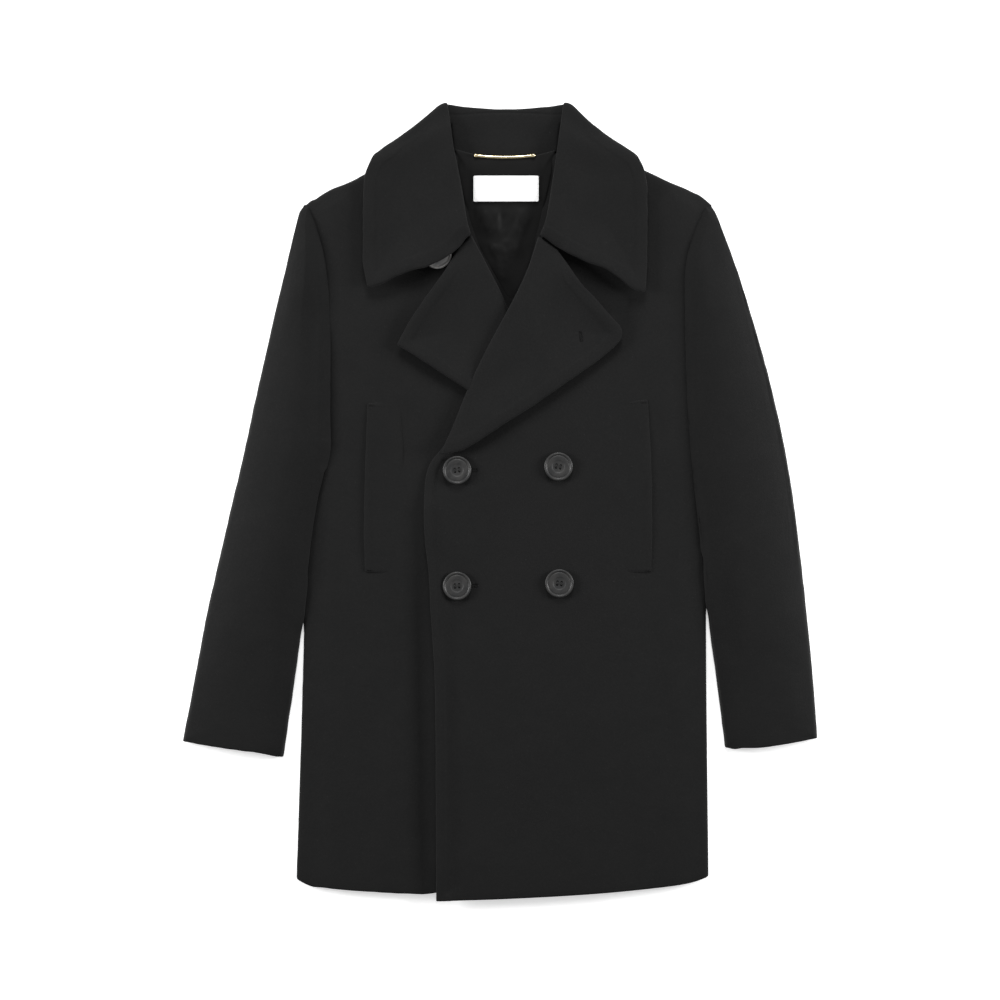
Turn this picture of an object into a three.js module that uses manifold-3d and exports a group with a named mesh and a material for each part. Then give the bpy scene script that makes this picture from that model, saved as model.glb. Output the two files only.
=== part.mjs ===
// Double-breasted short coat in heavy wool, laid flat and face up.
// Millimetres. +X is the viewer's right (the wearer's left), +Y points from hem to collar, +Z is up.
// The origin is on the surface that the coat lies on, under the middle of its outline.

import * as THREE from 'three';
import { mergeVertices } from 'three/addons/utils/BufferGeometryUtils.js';
import Module from 'manifold-3d';

const wasm = await Module();
wasm.setup();

// Driving sizes
const CLOTH = 3;            // wall of the heavy wool
const LINING = 1.2;         // wall of the satin lining
const WELT = 2.2;           // wall of a pocket welt
const LABEL = 0.8;          // wall of the woven label
const SEAM = 0.3;           // clearance between pieces
const LAYER = CLOTH + SEAM; // rise from one layer of cloth to the next
const RIM = 2.5;            // width of the rounded strip along a cloth edge
const RIM_DROP = 1.1;       // how far the upper face falls across that strip
const STEP_MARGIN = 8;      // a layer stays lifted this far past the layer under it
const STEP_RAMP = 80;       // and comes down gently over this length
const FOLD_DROP = LAYER - SEAM; // how far a folded edge turns down over the layer under it
const ROLL_DROP = 2;        // the same along the rolls of the lapels and the collar
const FOLD_INSET = 3;       // the layer under a folded edge ends this far inside it
const SLEEVE_CROWN = 3.6;   // how far a top sleeve stands off its under sleeve

// Small helpers
const clamp = (v, low, high) => Math.min(high, Math.max(low, v));
const mix = (a, b, t) => a + (b - a) * t;
const smooth = (v, low, high) => {
  const t = clamp((v - low) / (high - low), 0, 1);
  return t * t * (3 - 2 * t);
};

// Turns rows of numbers into records with the named columns
function table(columns, rows) {
  return rows.map(row => Object.fromEntries(columns.map((name, i) => [name, row[i]])));
}

// A smooth flat curve through points, as a function of a fraction from 0 to 1
function curve(points, even = false) {
  const path = new THREE.CatmullRomCurve3(
    points.map(([x, y]) => new THREE.Vector3(x, y, 0)), false, 'centripetal');
  if (points.length === 2 || even) return t => path.getPointAt(clamp(t, 0, 1));
  return t => path.getPoint(clamp(t, 0, 1));
}

// How far a point lies outside an outline of corners; 0 anywhere inside it
function distanceOutside(corners, x, y) {
  let inside = false;
  let nearest = Infinity;
  corners.forEach(([ax, ay], i) => {
    const [bx, by] = corners[(i + 1) % corners.length];
    if ((ay > y) !== (by > y) && x < ax + ((y - ay) * (bx - ax)) / (by - ay)) inside = !inside;
    const lengthSquared = (bx - ax) ** 2 + (by - ay) ** 2;
    const along = clamp(((x - ax) * (bx - ax) + (y - ay) * (by - ay)) / lengthSquared, 0, 1);
    nearest = Math.min(nearest, Math.hypot(x - mix(ax, bx, along), y - mix(ay, by, along)));
  });
  return inside ? 0 : nearest;
}

// Rise of a cloth that passes over a layer with the given corners
const riseOver = (corners, x, y) =>
  LAYER * (1 - smooth(distanceOutside(corners, x, y), STEP_MARGIN, STEP_MARGIN + STEP_RAMP));

// Fractions across a piece: even columns, with a narrow one along each edge for the rounded rim
function columnsWithRims(count, width) {
  const rim = RIM / width;
  const inner = Array.from({ length: count - 1 }, (_, i) => (i + 1) / count);
  return [0, rim, ...inner.filter(s => s > rim * 1.8 && s < 1 - rim * 1.8), 1 - rim, 1];
}

// The four edges of a flat-laid piece. Each row of the table crosses the piece from its left edge to its
// right edge, from the lowest row to the highest; "steps" is the number of grid rows up to the next row.
// The points under and over bend the lowest and the highest row.
const ROW = ['leftX', 'leftY', 'rightX', 'rightY', 'steps'];
function outline(rows, under = [], over = []) {
  const leftPoints = rows.map(row => [row.leftX, row.leftY]);
  const rightPoints = rows.map(row => [row.rightX, row.rightY]);
  const left = curve(leftPoints);
  const right = curve(rightPoints);
  const bottom = curve([leftPoints[0], ...under, rightPoints[0]], true);
  const top = curve([leftPoints.at(-1), ...over, rightPoints.at(-1)], true);
  const corners = [...leftPoints, ...over, ...rightPoints.toReversed(), ...under.toReversed()];
  return { rows, left, right, bottom, top, corners };
}

// A point of the piece at fractions s across and t up (a Coons patch between the four edges)
function pointOf({ left, right, bottom, top }, s, t) {
  const edge = axis => {
    const ruled = mix(left(t)[axis], right(t)[axis], s);
    const lofted = mix(bottom(s)[axis], top(s)[axis], t);
    const cornered = mix(mix(left(0)[axis], right(0)[axis], s), mix(left(1)[axis], right(1)[axis], s), t);
    return ruled + lofted - cornered;
  };
  return [edge('x'), edge('y')];
}

// Fractions up a piece: the grid rows of its table, with a narrow one along the lowest and highest edges
function rowsWithRims({ rows, left, right }) {
  const last = rows.length - 1;
  const inner = rows.slice(0, last).flatMap((row, i) =>
    Array.from({ length: row.steps }, (_, k) => (i + k / row.steps) / last)).slice(1);
  const lengthBetween = (a, b) => (left(a).distanceTo(left(b)) + right(a).distanceTo(right(b))) / 2;
  const firstLength = lengthBetween(0, inner[0]);
  const lastLength = lengthBetween(inner.at(-1), 1);
  const low = (inner[0] * RIM) / Math.max(firstLength, RIM * 2);
  const high = 1 - ((1 - inner.at(-1)) * RIM) / Math.max(lastLength, RIM * 2);
  return [0, low, ...inner, high, 1];
}

// A closed wall of cloth over an outline. under(x, y, s, t) is the height of its lower face, and turned
// says how far each edge that is folded or rolled turns down, as a function of the fraction up it.
function clothMesh(name, finish, shape, columns, under, { wall = CLOTH, turned = {} } = {}) {
  const rows = rowsWithRims(shape);
  const across = columns.length;
  const count = across * rows.length;
  const rimDrop = Math.min(RIM_DROP, wall * 0.4);
  const lower = [];
  const upper = [];
  rows.forEach((t, j) => columns.forEach((s, i) => {
    const [x, y] = pointOf(shape, s, t);
    const [atLeft, atRight, atTop] = [i === 0, i === across - 1, j === rows.length - 1];
    const onEdge = atLeft || atRight || atTop || j === 0;
    const drop = Math.max(
      atLeft && turned.left ? turned.left(t) : 0,
      atRight && turned.right ? turned.right(t) : 0,
      atTop && turned.top ? turned.top(t) : 0);
    const z = under(x, y, s, t) - drop;
    lower.push(x, y, z);
    upper.push(x, y, z + wall - (onEdge ? rimDrop : 0));
  }));
  const faces = [];
  const quad = (a, b, c, d) => faces.push(a, b, c, a, c, d);
  for (let j = 0; j < rows.length - 1; j += 1) {
    for (let i = 0; i < across - 1; i += 1) {
      const a = j * across + i;
      quad(count + a, count + a + 1, count + a + 1 + across, count + a + across);
      quad(a, a + across, a + 1 + across, a + 1);
    }
  }
  const rim = [];
  for (let i = 0; i < across - 1; i += 1) rim.push(i);
  for (let j = 0; j < rows.length - 1; j += 1) rim.push(j * across + across - 1);
  for (let i = across - 1; i > 0; i -= 1) rim.push((rows.length - 1) * across + i);
  for (let j = rows.length - 1; j > 0; j -= 1) rim.push(j * across);
  rim.forEach((a, k) => {
    const b = rim[(k + 1) % rim.length];
    quad(a, b, b + count, a + count);
  });
  const geometry = new THREE.BufferGeometry();
  geometry.setAttribute('position', new THREE.Float32BufferAttribute([...lower, ...upper], 3));
  geometry.setIndex(faces);
  geometry.computeVertexNormals();
  const mesh = new THREE.Mesh(geometry, finish);
  mesh.name = name;
  return mesh;
}

// Finishes
const finishOf = (color, roughness, metalness = 0) =>
  new THREE.MeshStandardMaterial({ color, roughness, metalness });
const WOOL = finishOf(0x1b1c1e, 0.95);
const SATIN = finishOf(0x141517, 0.45);
const BUTTON = finishOf(0x2a2c2d, 0.3);
const WOVEN = finishOf(0xf2f2f0, 0.8);
const GILT = finishOf(0xc8c096, 0.3, 1);

// Collar, back fall: folded behind the back, flat on the surface
const FALL = outline(table(ROW, [
  [-140, 362, 154, 360, 1],
  [-132, 376, 147, 373.5, 1],
  [-104, 396.5, 115, 394, 1],
  [-73, 422, 86, 421, 1],
  [-59, 432, 71, 432, 0],
]), [[-80, 346], [8, 339], [90, 345]], [[-30, 427], [6, 425.5], [42, 427]]);
const overFall = (x, y) => riseOver(FALL.corners, x, y);

// Body sides and armholes, from the hem up to the shoulder tip
const SIDE = ['x', 'y'];
const RIGHT_SIDE = table(SIDE, [
  [-223.5, -414], [-222.5, -378], [-219.5, -286], [-216.2, -176], [-215, -114], [-214.5, -54],
  [-213, 0], [-205, 25], [-187.5, 48], [-185, 66], [-186, 97], [-185.5, 154], [-186, 209],
  [-189.5, 251], [-195, 281], [-203, 306], [-210, 321],
]);
const LEFT_SIDE = table(SIDE, [
  [229.3, -413], [228.8, -368], [227.7, -274], [226.6, -170], [226.6, -110], [226.6, -66],
  [226.6, -32], [226, 12], [225, 45], [224, 67], [221.7, 100], [219.5, 144], [216, 188],
  [215, 226], [216, 259], [219.5, 286], [225, 306], [229.5, 323.5],
]);
const paired = (left, right, steps) => left.map((a, i) => ({
  leftX: a.x, leftY: a.y, rightX: right[i].x, rightY: right[i].y, steps: steps[i] ?? 1,
}));

// Right front: its own front edge is hidden under the left front; above the break it ends at its roll line
const RIGHT_EDGE = table(SIDE, [
  [82, -437], [82, -392], [82, -290], [82, -180], [82, -112], [82, -50],
  [83, 8], [85, 36], [85, 52], [75, 68], [61, 100], [34, 158], [6, 217],
  [-20, 262], [-34, 292], [-47, 342], [-64, 396],
]);
const RIGHT_FRONT = outline(
  paired(RIGHT_SIDE, RIGHT_EDGE, [1, 1, 1, 1, 1, 1, 1, 1, 1, 1, 2, 2, 2, 2, 3, 3]),
  [[-218, -421], [-183, -427], [-72, -433.5], [0, -436.5]],
  [[-193, 335], [-166.5, 348], [-141.5, 361], [-100, 379]]);
const rightFrontUnder = (x, y) => LAYER + overFall(x, y);

// Left front: laps over to its front edge, and above the break ends at its roll line
const LEFT_EDGE = table(SIDE, [
  [-70, -439.5], [-70, -395], [-70.4, -286], [-71, -187], [-76.5, -126], [-77.5, -77],
  [-83, -49], [-84, 0], [-81, 38], [-66, 53], [-48, 82], [-35, 116], [-14, 161],
  [13.5, 212], [32, 249], [48, 292], [57, 330], [70, 395],
]);
const LEFT_FRONT = outline(
  paired(LEFT_EDGE, LEFT_SIDE, [1, 1, 1, 1, 1, 1, 1, 1, 1, 2, 2, 2, 2, 2, 2, 2, 3]),
  [[-21, -438.5], [73, -434], [152, -428], [205, -421.5], [224, -417]],
  [[112, 380], [160, 361], [187.5, 348], [216, 335]]);

// Back: from hem to shoulders, with the neckline where the collar stand is sewn on
const inside = (side, inward) => side.map(({ x, y }, i) =>
  ({ x: x + inward * FOLD_INSET, y: y - (i === side.length - 1 ? FOLD_INSET : 0) }));
const BACK = outline(
  paired(inside(RIGHT_SIDE, 1), inside(LEFT_SIDE.toSpliced(6, 1), -1), [1, 1, 1, 1, 1, 1, 1, 1, 1, 1, 1, 1, 2, 3, 3, 3]),
  [[-218, -420], [-183, -425], [-72, -431], [80, -431], [160, -425], [220, -417]],
  [[-166, 344], [-103, 372], [-72, 384], [-45, 381.5], [-18, 374.5], [8, 372.5], [34, 374.5], [61, 381.5],
    [88, 385], [119, 373], [190, 342]]);

// Right lapel: the right front folded back with its facing; its far corner lies under the left front
const RIGHT_LAPEL = outline(table(ROW, [
  [-113, 170, -16, 108.5, 2],
  [-99.5, 195, -1.5, 141.5, 2],
  [-84, 218.5, 8, 182, 2],
  [-69, 239, 7, 216, 1],
  [-56.5, 257, -4, 238, 1],
  [-50, 269, -17, 263, 1],
  [-43.4, 278, -31.2, 290.2, 0],
]), [[-77.5, 148], [-50, 129.5]]);

// Each higher layer follows what it lies on
const rightLapelUnder = (x, y) => rightFrontUnder(x, y) + LAYER;
const leftFrontUnder = (x, y) =>
  rightFrontUnder(x, y) + riseOver(RIGHT_FRONT.corners, x, y) + riseOver(RIGHT_LAPEL.corners, x, y);
const onLeftFront = (x, y) => leftFrontUnder(x, y) + LAYER;

// Left lapel: on top, from the break of the front edge up to the notch
const LEFT_LAPEL = outline(table(ROW, [
  [-65.5, 50, 132.5, 176, 1],
  [-51, 82, 134, 186.5, 2],
  [-38, 116, 125, 197, 2],
  [-17, 161, 109.5, 215, 3],
  [10.5, 212, 89.5, 236, 2],
  [29, 249, 74, 258, 2],
  [42, 289, 62.5, 274.5, 0],
]), [[-45.5, 51.5], [-27, 61], [-6, 76.5], [37, 103], [71, 127], [98.5, 146], [122.5, 164.5]]);

// Collar button, and the soft hump of the collar leaf over it
const COLLAR_BUTTON = { x: -68.5, y: 268.5, thickness: 3.3 };
const BUTTON_RADIUS = 15.7;
const HUMP = COLLAR_BUTTON.thickness + 3.5 * SEAM;
const humpOverButton = (x, y) => HUMP - HUMP
  * smooth(Math.hypot(x - COLLAR_BUTTON.x, y - COLLAR_BUTTON.y), BUTTON_RADIUS + 10, BUTTON_RADIUS + 45);

// Collar leaves: from the lower cut edge up to the fold where the collar turns round to the back
const RIGHT_LEAF = outline(table(ROW, [
  [-144.5, 232.5, -31.8, 291.3, 2],
  [-150, 254, -36, 306, 2],
  [-150, 292, -40.5, 336, 2],
  [-150, 331, -47, 369, 2],
  [-148, 354.5, -51, 388, 2],
  [-144.5, 366, -53.5, 408, 2],
  [-138, 379, -57.5, 435.5, 0],
]), [[-128, 236], [-110.5, 246], [-88.5, 253.5], [-75, 259], [-51, 271.5], [-43.8, 279.4]],
[[-126, 388], [-107, 401], [-89.5, 414], [-74, 427.5], [-67.5, 433.5], [-62.5, 438]]);
const LEFT_LEAF = outline(table(ROW, [
  [43.5, 290.5, 159, 227.5, 2],
  [49, 303.5, 161, 248, 2],
  [53.5, 325, 161.3, 286.5, 2],
  [57.7, 352.5, 161.3, 325, 2],
  [61, 374.5, 160.5, 350, 2],
  [64.5, 400, 157, 363.5, 2],
  [69.5, 435.5, 151, 376.5, 0],
]), [[63.5, 276], [89.5, 262.5], [121.5, 250], [138, 236], [152, 226.5]],
[[74, 438.5], [86.5, 427], [99.5, 414], [116, 401], [136, 388]]);

// Past the shoulder line a collar leaf comes down to the fall that it is folded to
const SHOULDERS = [
  { x: -141.5, y: 361, slope: 0.434 },
  { x: 160, y: 361, slope: -0.362 },
];
const pastShoulder = ({ x: x0, y: y0, slope }, x, y) => (y - y0 - slope * (x - x0)) / Math.hypot(1, slope);
const leafUnder = (shoulder, onFront) => (x, y) => {
  const folded = smooth(pastShoulder(shoulder, x, y), 6, 20);
  return mix(onFront(x, y), LAYER, folded);
};
const rightLeafUnder = leafUnder(SHOULDERS[0], (x, y) => rightLapelUnder(x, y) + humpOverButton(x, y));
const leftLeafUnder = leafUnder(SHOULDERS[1], (x, y) => onLeftFront(x, y) + SEAM);

// Collar stand: inside the neck, from the neckline up to the roll line
const STAND = outline(table(ROW, [
  [-50.5, 386.5, 62, 386.5, 1],
  [-52.6, 407, 65, 407, 1],
  [-56.5, 434, 68.5, 434, 0],
]), [[-18, 375.8], [8, 373.7], [34, 375.8]], [[-30, 431.5], [6, 429.5], [42, 431.5]]);

// Satin lining that shows in the neck opening
const NECK_LINING = outline(table(ROW, [
  [10, 221, 13.5, 221, 2],
  [-14.5, 263, 31, 254, 2],
  [-29, 293, 41, 291, 2],
  [-42, 342, 52.5, 340, 2],
  [-49.5, 379, 61, 378, 0],
]), [], [[-18, 371], [8, 369.7], [34, 371]]);

// Sleeves. A top sleeve stands off its under sleeve in a rounded fold along the outside; "lift" is how
// high its inner edge lies: 0 where it ends at a seam or a fold of its own, 1 where it lies on the body.
const SLEEVE_ROW = [...ROW, 'lift'];
const RIGHT_TOP_SLEEVE = outline(table(SLEEVE_ROW, [
  [-349, -265, -238, -280, 2, 0],
  [-335, -193, -227, -208.5, 2, 0],
  [-324.5, -135, -218.7, -147, 1, 0],
  [-320.5, -116, -216.3, -128, 1, 1],
  [-304, -44.5, -208.5, -54.5, 1, 1],
  [-292, 8, -201, 0.5, 1, 1],
  [-286, 31.5, -193, 26, 1, 1],
  [-281, 54, -187, 56, 1, 1],
  [-278, 68, -185.9, 69, 1, 0],
  [-272, 97.5, -186.8, 97.5, 1, 0],
  [-259, 154.5, -186.3, 154.5, 1, 0],
  [-247, 207.5, -186.8, 209.5, 1, 0],
  [-237, 249, -190.4, 251.5, 1, 0],
  [-230, 278, -196, 281.5, 1, 0],
  [-223.5, 306.5, -204.2, 306.5, 1, 0],
  [-217.5, 322, -211, 322, 0, 0],
]), [[-318, -270], [-278, -275.5]]);
const LEFT_TOP_SLEEVE = outline(table(SLEEVE_ROW, [
  [247, -269, 349, -261.5, 2, 0],
  [238, -198.5, 344, -193, 2, 0],
  [230.5, -144, 338.5, -138, 1, 0],
  [227, -117, 336, -112, 1, 1],
  [223, -56.5, 330.5, -61, 1, 1],
  [215, -1.5, 324, -8, 1, 1],
  [208.5, 53.5, 316, 44.5, 1, 1],
  [205, 105, 305, 97.5, 1, 1],
  [203, 157, 292, 150, 1, 1],
  [203, 209.5, 276.5, 203, 1, 1],
  [202, 251.5, 264.5, 242.5, 1, 1],
  [208, 278, 253.5, 273.5, 1, 1],
  [217, 306.5, 241, 306.5, 1, 1],
  [227.5, 325.5, 235.5, 321, 0, 1],
]), [[268, -272.5], [308, -268.5]]);

// The rounded rise from a fold: 0 at the fold, 1 from the given fraction of the width on
const foldRise = (fraction, width) => Math.sqrt(1 - (1 - clamp(fraction / width, 0, 1)) ** 2);
const liftAt = ({ rows }, t) => {
  const place = t * (rows.length - 1);
  const row = Math.min(Math.floor(place), rows.length - 2);
  return mix(rows[row].lift, rows[row + 1].lift, place - row);
};

// outerOf turns the fraction across into the fraction from the outer fold
const topSleeveUnder = (sleeve, outerOf) => (x, y, s, t) => {
  const fromFold = outerOf(s);
  const crown = SLEEVE_CROWN * foldRise(fromFold, 0.3) * foldRise(1 - fromFold, 0.22);
  const lift = liftAt(sleeve, t);
  const turned = FOLD_DROP * (fromFold === 0 ? 1 : 0) + FOLD_DROP * (fromFold === 1 ? 1 - lift : 0);
  return LAYER + overFall(x, y) + Math.max(crown, LAYER * lift * smooth(fromFold, 0, 0.3)) - turned;
};
const SLEEVE_COLUMNS = [0, 0.02, 0.06, 0.14, 0.26, 0.42, 0.58, 0.74, 0.86, 0.94, 0.98, 1];

// Under sleeves: flat on the surface, from the outer fold to the side of the back
const SIDE_CLEARANCE = 1;
const underSleeve = (outer, inner, toOuter) => outline(outer.map((a, i) => {
  const clearance = inner[i][2] ? FOLD_INSET : SIDE_CLEARANCE;
  const pair = [[a[0] - toOuter * FOLD_INSET, a[1]], [inner[i][0] + toOuter * clearance, inner[i][1]]];
  const [low, high] = toOuter < 0 ? pair : pair.toReversed();
  return { leftX: low[0], leftY: low[1], rightX: high[0], rightY: high[1], steps: 1 };
}));
const RIGHT_UNDER_SLEEVE = underSleeve(
  [[-348.5, -263.5], [-335, -193], [-324, -133], [-319, -111], [-306, -54], [-293.5, 0], [-288, 25],
    [-282.5, 48], [-278, 68], [-272, 97.5], [-259, 154.5], [-247, 207.5], [-237, 249],
    [-230, 278], [-223.5, 305.5], [-219, 317]],
  [[-238.5, -278.5, 1], [-227, -208.5, 1], [-218.7, -143, 1], [-215.4, -114], [-214.5, -54], [-213, 0],
    [-205, 25], [-187.7, 48], [-185.2, 66, 1], [-186.2, 97, 1], [-185.7, 154, 1], [-186.2, 209, 1],
    [-189.7, 251, 1], [-195.2, 281, 1], [-203.2, 306, 1], [-208.5, 317]],
  -1);
const LEFT_UNDER_SLEEVE = underSleeve(
  [[348.5, -260.5], [344, -193], [338.5, -138], [336, -112], [330.5, -61], [324, -8], [316, 44.5],
    [305, 97.5], [292, 150], [276.5, 203], [264.5, 242.5], [253.5, 273.5], [241, 305.5], [238, 317]],
  [[247.5, -267.5, 1], [238, -198.5, 1], [230.5, -144, 1], [227, -112], [226.8, -66], [226.3, 0], [225, 45],
    [221.9, 100], [219.5, 144], [215.6, 200], [215.8, 250], [218.5, 280], [225.2, 306], [228.5, 317]],
  1);

// Pocket welts, upright, opening towards the side seams
const RIGHT_WELT = outline(table(ROW, [
  [-148, -79, -106, -82, 1],
  [-150, -30, -105, -30, 1],
  [-148, 30, -105, 30, 1],
  [-145.5, 106, -109, 103, 0],
]), [], [[-132, 107], [-117, 106]]);
const LEFT_WELT = outline(table(ROW, [
  [130, -80, 166, -79.5, 1],
  [128.5, -30, 166.8, -30, 1],
  [124.5, 30, 166.8, 30, 1],
  [123.5, 106, 162, 110, 0],
]));

// Label and hanger bar at the back neck
const LABEL_SHAPE = outline(table(ROW, [
  [-29.2, 328.5, 42.4, 328.5, 3],
  [-29.2, 357, 42.4, 357, 0],
]));
const BAR = { halfLength: 34, x: 5, y: 380, sag: 2.2, radius: 2 };

// A flat four-hole button with a raised rim and a dished middle, its axis upright
const BUTTON_STEPS = 20;
const HOLE = { radius: 1.3, spacingX: 4.6, spacingY: 3.4, sides: 6 };
const BUTTON_PROFILE = table(['radius', 'height'], [
  [0, 0], [0.91, 0], [1, 0.35], [0.99, 0.75], [0.91, 1],
  [0.8, 0.9], [0.68, 0.74], [0.44, 0.68], [0.34, 0.52], [0, 0.5],
]);

function solidOf(geometry) {
  const bare = geometry.clone();
  bare.deleteAttribute('normal');
  bare.deleteAttribute('uv');
  const merged = mergeVertices(bare);
  return new wasm.Manifold(new wasm.Mesh({
    numProp: 3,
    vertProperties: Float32Array.from(merged.attributes.position.array),
    triVerts: Uint32Array.from(merged.index.array),
  }));
}

function geometryOf(solid) {
  const mesh = solid.getMesh();
  const geometry = new THREE.BufferGeometry();
  geometry.setAttribute('position', new THREE.BufferAttribute(Float32Array.from(mesh.vertProperties), 3));
  geometry.setIndex(new THREE.BufferAttribute(Uint32Array.from(mesh.triVerts), 1));
  geometry.computeVertexNormals();
  return geometry;
}

function buttonGeometry(thickness) {
  const points = BUTTON_PROFILE.map(({ radius, height }) =>
    new THREE.Vector2(radius * BUTTON_RADIUS, height * thickness));
  const disc = new THREE.LatheGeometry(points, BUTTON_STEPS).rotateX(Math.PI / 2);
  let solid = solidOf(disc);
  for (const sideX of [-0.5, 0.5]) {
    for (const sideY of [-0.5, 0.5]) {
      const hole = new THREE.CylinderGeometry(HOLE.radius, HOLE.radius, thickness * 3, HOLE.sides)
        .rotateX(Math.PI / 2)
        .translate(sideX * HOLE.spacingX, sideY * HOLE.spacingY, 0);
      solid = solid.subtract(solidOf(hole));
    }
  }
  return geometryOf(solid);
}

// Height at which a button rests on the highest point under it
function seatOf(onFront, x, y) {
  const around = [0, 1, 2, 3, 4, 5, 6, 7].map(k => (k * Math.PI) / 4);
  return Math.max(...around.map(a =>
    onFront(x + BUTTON_RADIUS * Math.cos(a), y + BUTTON_RADIUS * Math.sin(a))));
}

function placed(name, geometry, finish, x, y, z) {
  const mesh = new THREE.Mesh(geometry, finish);
  mesh.name = name;
  mesh.position.set(x, y, z);
  return mesh;
}

const BUTTON_THICKNESS = 4.4;
const BUTTONS = table(['name', 'x', 'y'], [
  ['button_1', -47, 32.7],
  ['button_2', 64, 36.6],
  ['button_3', -47, -94],
  ['button_4', 65, -91.2],
]);

class HangingBar extends THREE.Curve {
  getPoint(t, target = new THREE.Vector3()) {
    const along = t * 2 - 1;
    return target.set(BAR.x + along * BAR.halfLength, BAR.y - BAR.sag * (1 - along * along), 0);
  }
}

function barGeometry() {
  const section = new THREE.Shape().absarc(0, 0, BAR.radius, 0, Math.PI * 2);
  return new THREE.ExtrudeGeometry(section, { curveSegments: 4, steps: 12, extrudePath: new HangingBar() });
}

// Under faces of the small pieces that lie on a panel, made from the panel's own points
const leftLapelUnder = (x, y) => onLeftFront(x, y) + SEAM;
const leftWeltUnder = (x, y) => onLeftFront(x, y) + SEAM;
const labelUnder = (x, y) => rightFrontUnder(x, y) + LINING + SEAM;
const rightSleeveUnder = topSleeveUnder(RIGHT_TOP_SLEEVE, s => s);
const leftSleeveUnder = topSleeveUnder(LEFT_TOP_SLEEVE, s => 1 - s);
const onSurface = () => 0;
const folded = () => FOLD_DROP;
const rightLapelRolled = t => ROLL_DROP * smooth(t, 0.5, 0.65);
const leftLapelRolled = t => ROLL_DROP * smooth(t, 0.08, 0.3);
const leafRolled = t => ROLL_DROP * (1 - smooth(t, 0.45, 0.62));
const onFall = () => LAYER;

const coat = new THREE.Group();
coat.add(
  clothMesh('back', WOOL, BACK, columnsWithRims(16, 430), overFall),
  clothMesh('collar_fall', WOOL, FALL, columnsWithRims(10, 250), onSurface),
  clothMesh('right_front', WOOL, RIGHT_FRONT, columnsWithRims(15, 260), rightFrontUnder,
    { turned: { left: folded, top: folded } }),
  clothMesh('left_front', WOOL, LEFT_FRONT, columnsWithRims(18, 280), leftFrontUnder,
    { turned: { right: folded, top: folded } }),
  clothMesh('right_lapel', WOOL, RIGHT_LAPEL, columnsWithRims(7, 90), rightLapelUnder,
    { turned: { right: rightLapelRolled } }),
  clothMesh('left_lapel', WOOL, LEFT_LAPEL, columnsWithRims(10, 110), leftLapelUnder,
    { turned: { left: leftLapelRolled } }),
  clothMesh('collar_leaf_right', WOOL, RIGHT_LEAF, columnsWithRims(9, 100), rightLeafUnder,
    { turned: { right: leafRolled, top: folded } }),
  clothMesh('collar_leaf_left', WOOL, LEFT_LEAF, columnsWithRims(9, 100), leftLeafUnder,
    { turned: { left: leafRolled, top: folded } }),
  clothMesh('collar_stand', WOOL, STAND, columnsWithRims(8, 115), onFall, { turned: { top: folded } }),
  clothMesh('right_top_sleeve', WOOL, RIGHT_TOP_SLEEVE, SLEEVE_COLUMNS, rightSleeveUnder),
  clothMesh('left_top_sleeve', WOOL, LEFT_TOP_SLEEVE, SLEEVE_COLUMNS, leftSleeveUnder),
  clothMesh('right_under_sleeve', WOOL, RIGHT_UNDER_SLEEVE, columnsWithRims(5, 90), onSurface),
  clothMesh('left_under_sleeve', WOOL, LEFT_UNDER_SLEEVE, columnsWithRims(5, 90), onSurface),
  clothMesh('neck_lining', SATIN, NECK_LINING, columnsWithRims(6, 80), rightFrontUnder, { wall: LINING }),
  clothMesh('right_pocket_welt', WOOL, RIGHT_WELT, columnsWithRims(3, 43), rightLapelUnder, { wall: WELT }),
  clothMesh('left_pocket_welt', WOOL, LEFT_WELT, columnsWithRims(4, 40), leftWeltUnder, { wall: WELT }),
  clothMesh('neck_label', WOVEN, LABEL_SHAPE, columnsWithRims(3, 72), labelUnder, { wall: LABEL }),
  placed('hanger_bar', barGeometry(), GILT, 0, 0, 2 * LAYER + BAR.radius),
  placed('collar_button', buttonGeometry(COLLAR_BUTTON.thickness), BUTTON,
    COLLAR_BUTTON.x, COLLAR_BUTTON.y, seatOf(rightLapelUnder, COLLAR_BUTTON.x, COLLAR_BUTTON.y)),
  ...BUTTONS.map(({ name, x, y }) =>
    placed(name, buttonGeometry(BUTTON_THICKNESS), BUTTON, x, y, seatOf(onLeftFront, x, y))),
);

export default coat;
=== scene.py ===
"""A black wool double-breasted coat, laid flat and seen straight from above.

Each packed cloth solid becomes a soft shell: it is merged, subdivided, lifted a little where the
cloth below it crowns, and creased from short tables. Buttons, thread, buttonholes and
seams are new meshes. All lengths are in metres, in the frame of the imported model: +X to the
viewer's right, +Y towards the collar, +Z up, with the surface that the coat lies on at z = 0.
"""
from __future__ import annotations

import logging
import math
from collections.abc import Callable, Iterable, Sequence
from dataclasses import dataclass, field, replace
from enum import Enum

import bmesh
import bpy
import numpy as np
from mathutils import Matrix, Vector, kdtree, noise


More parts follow.
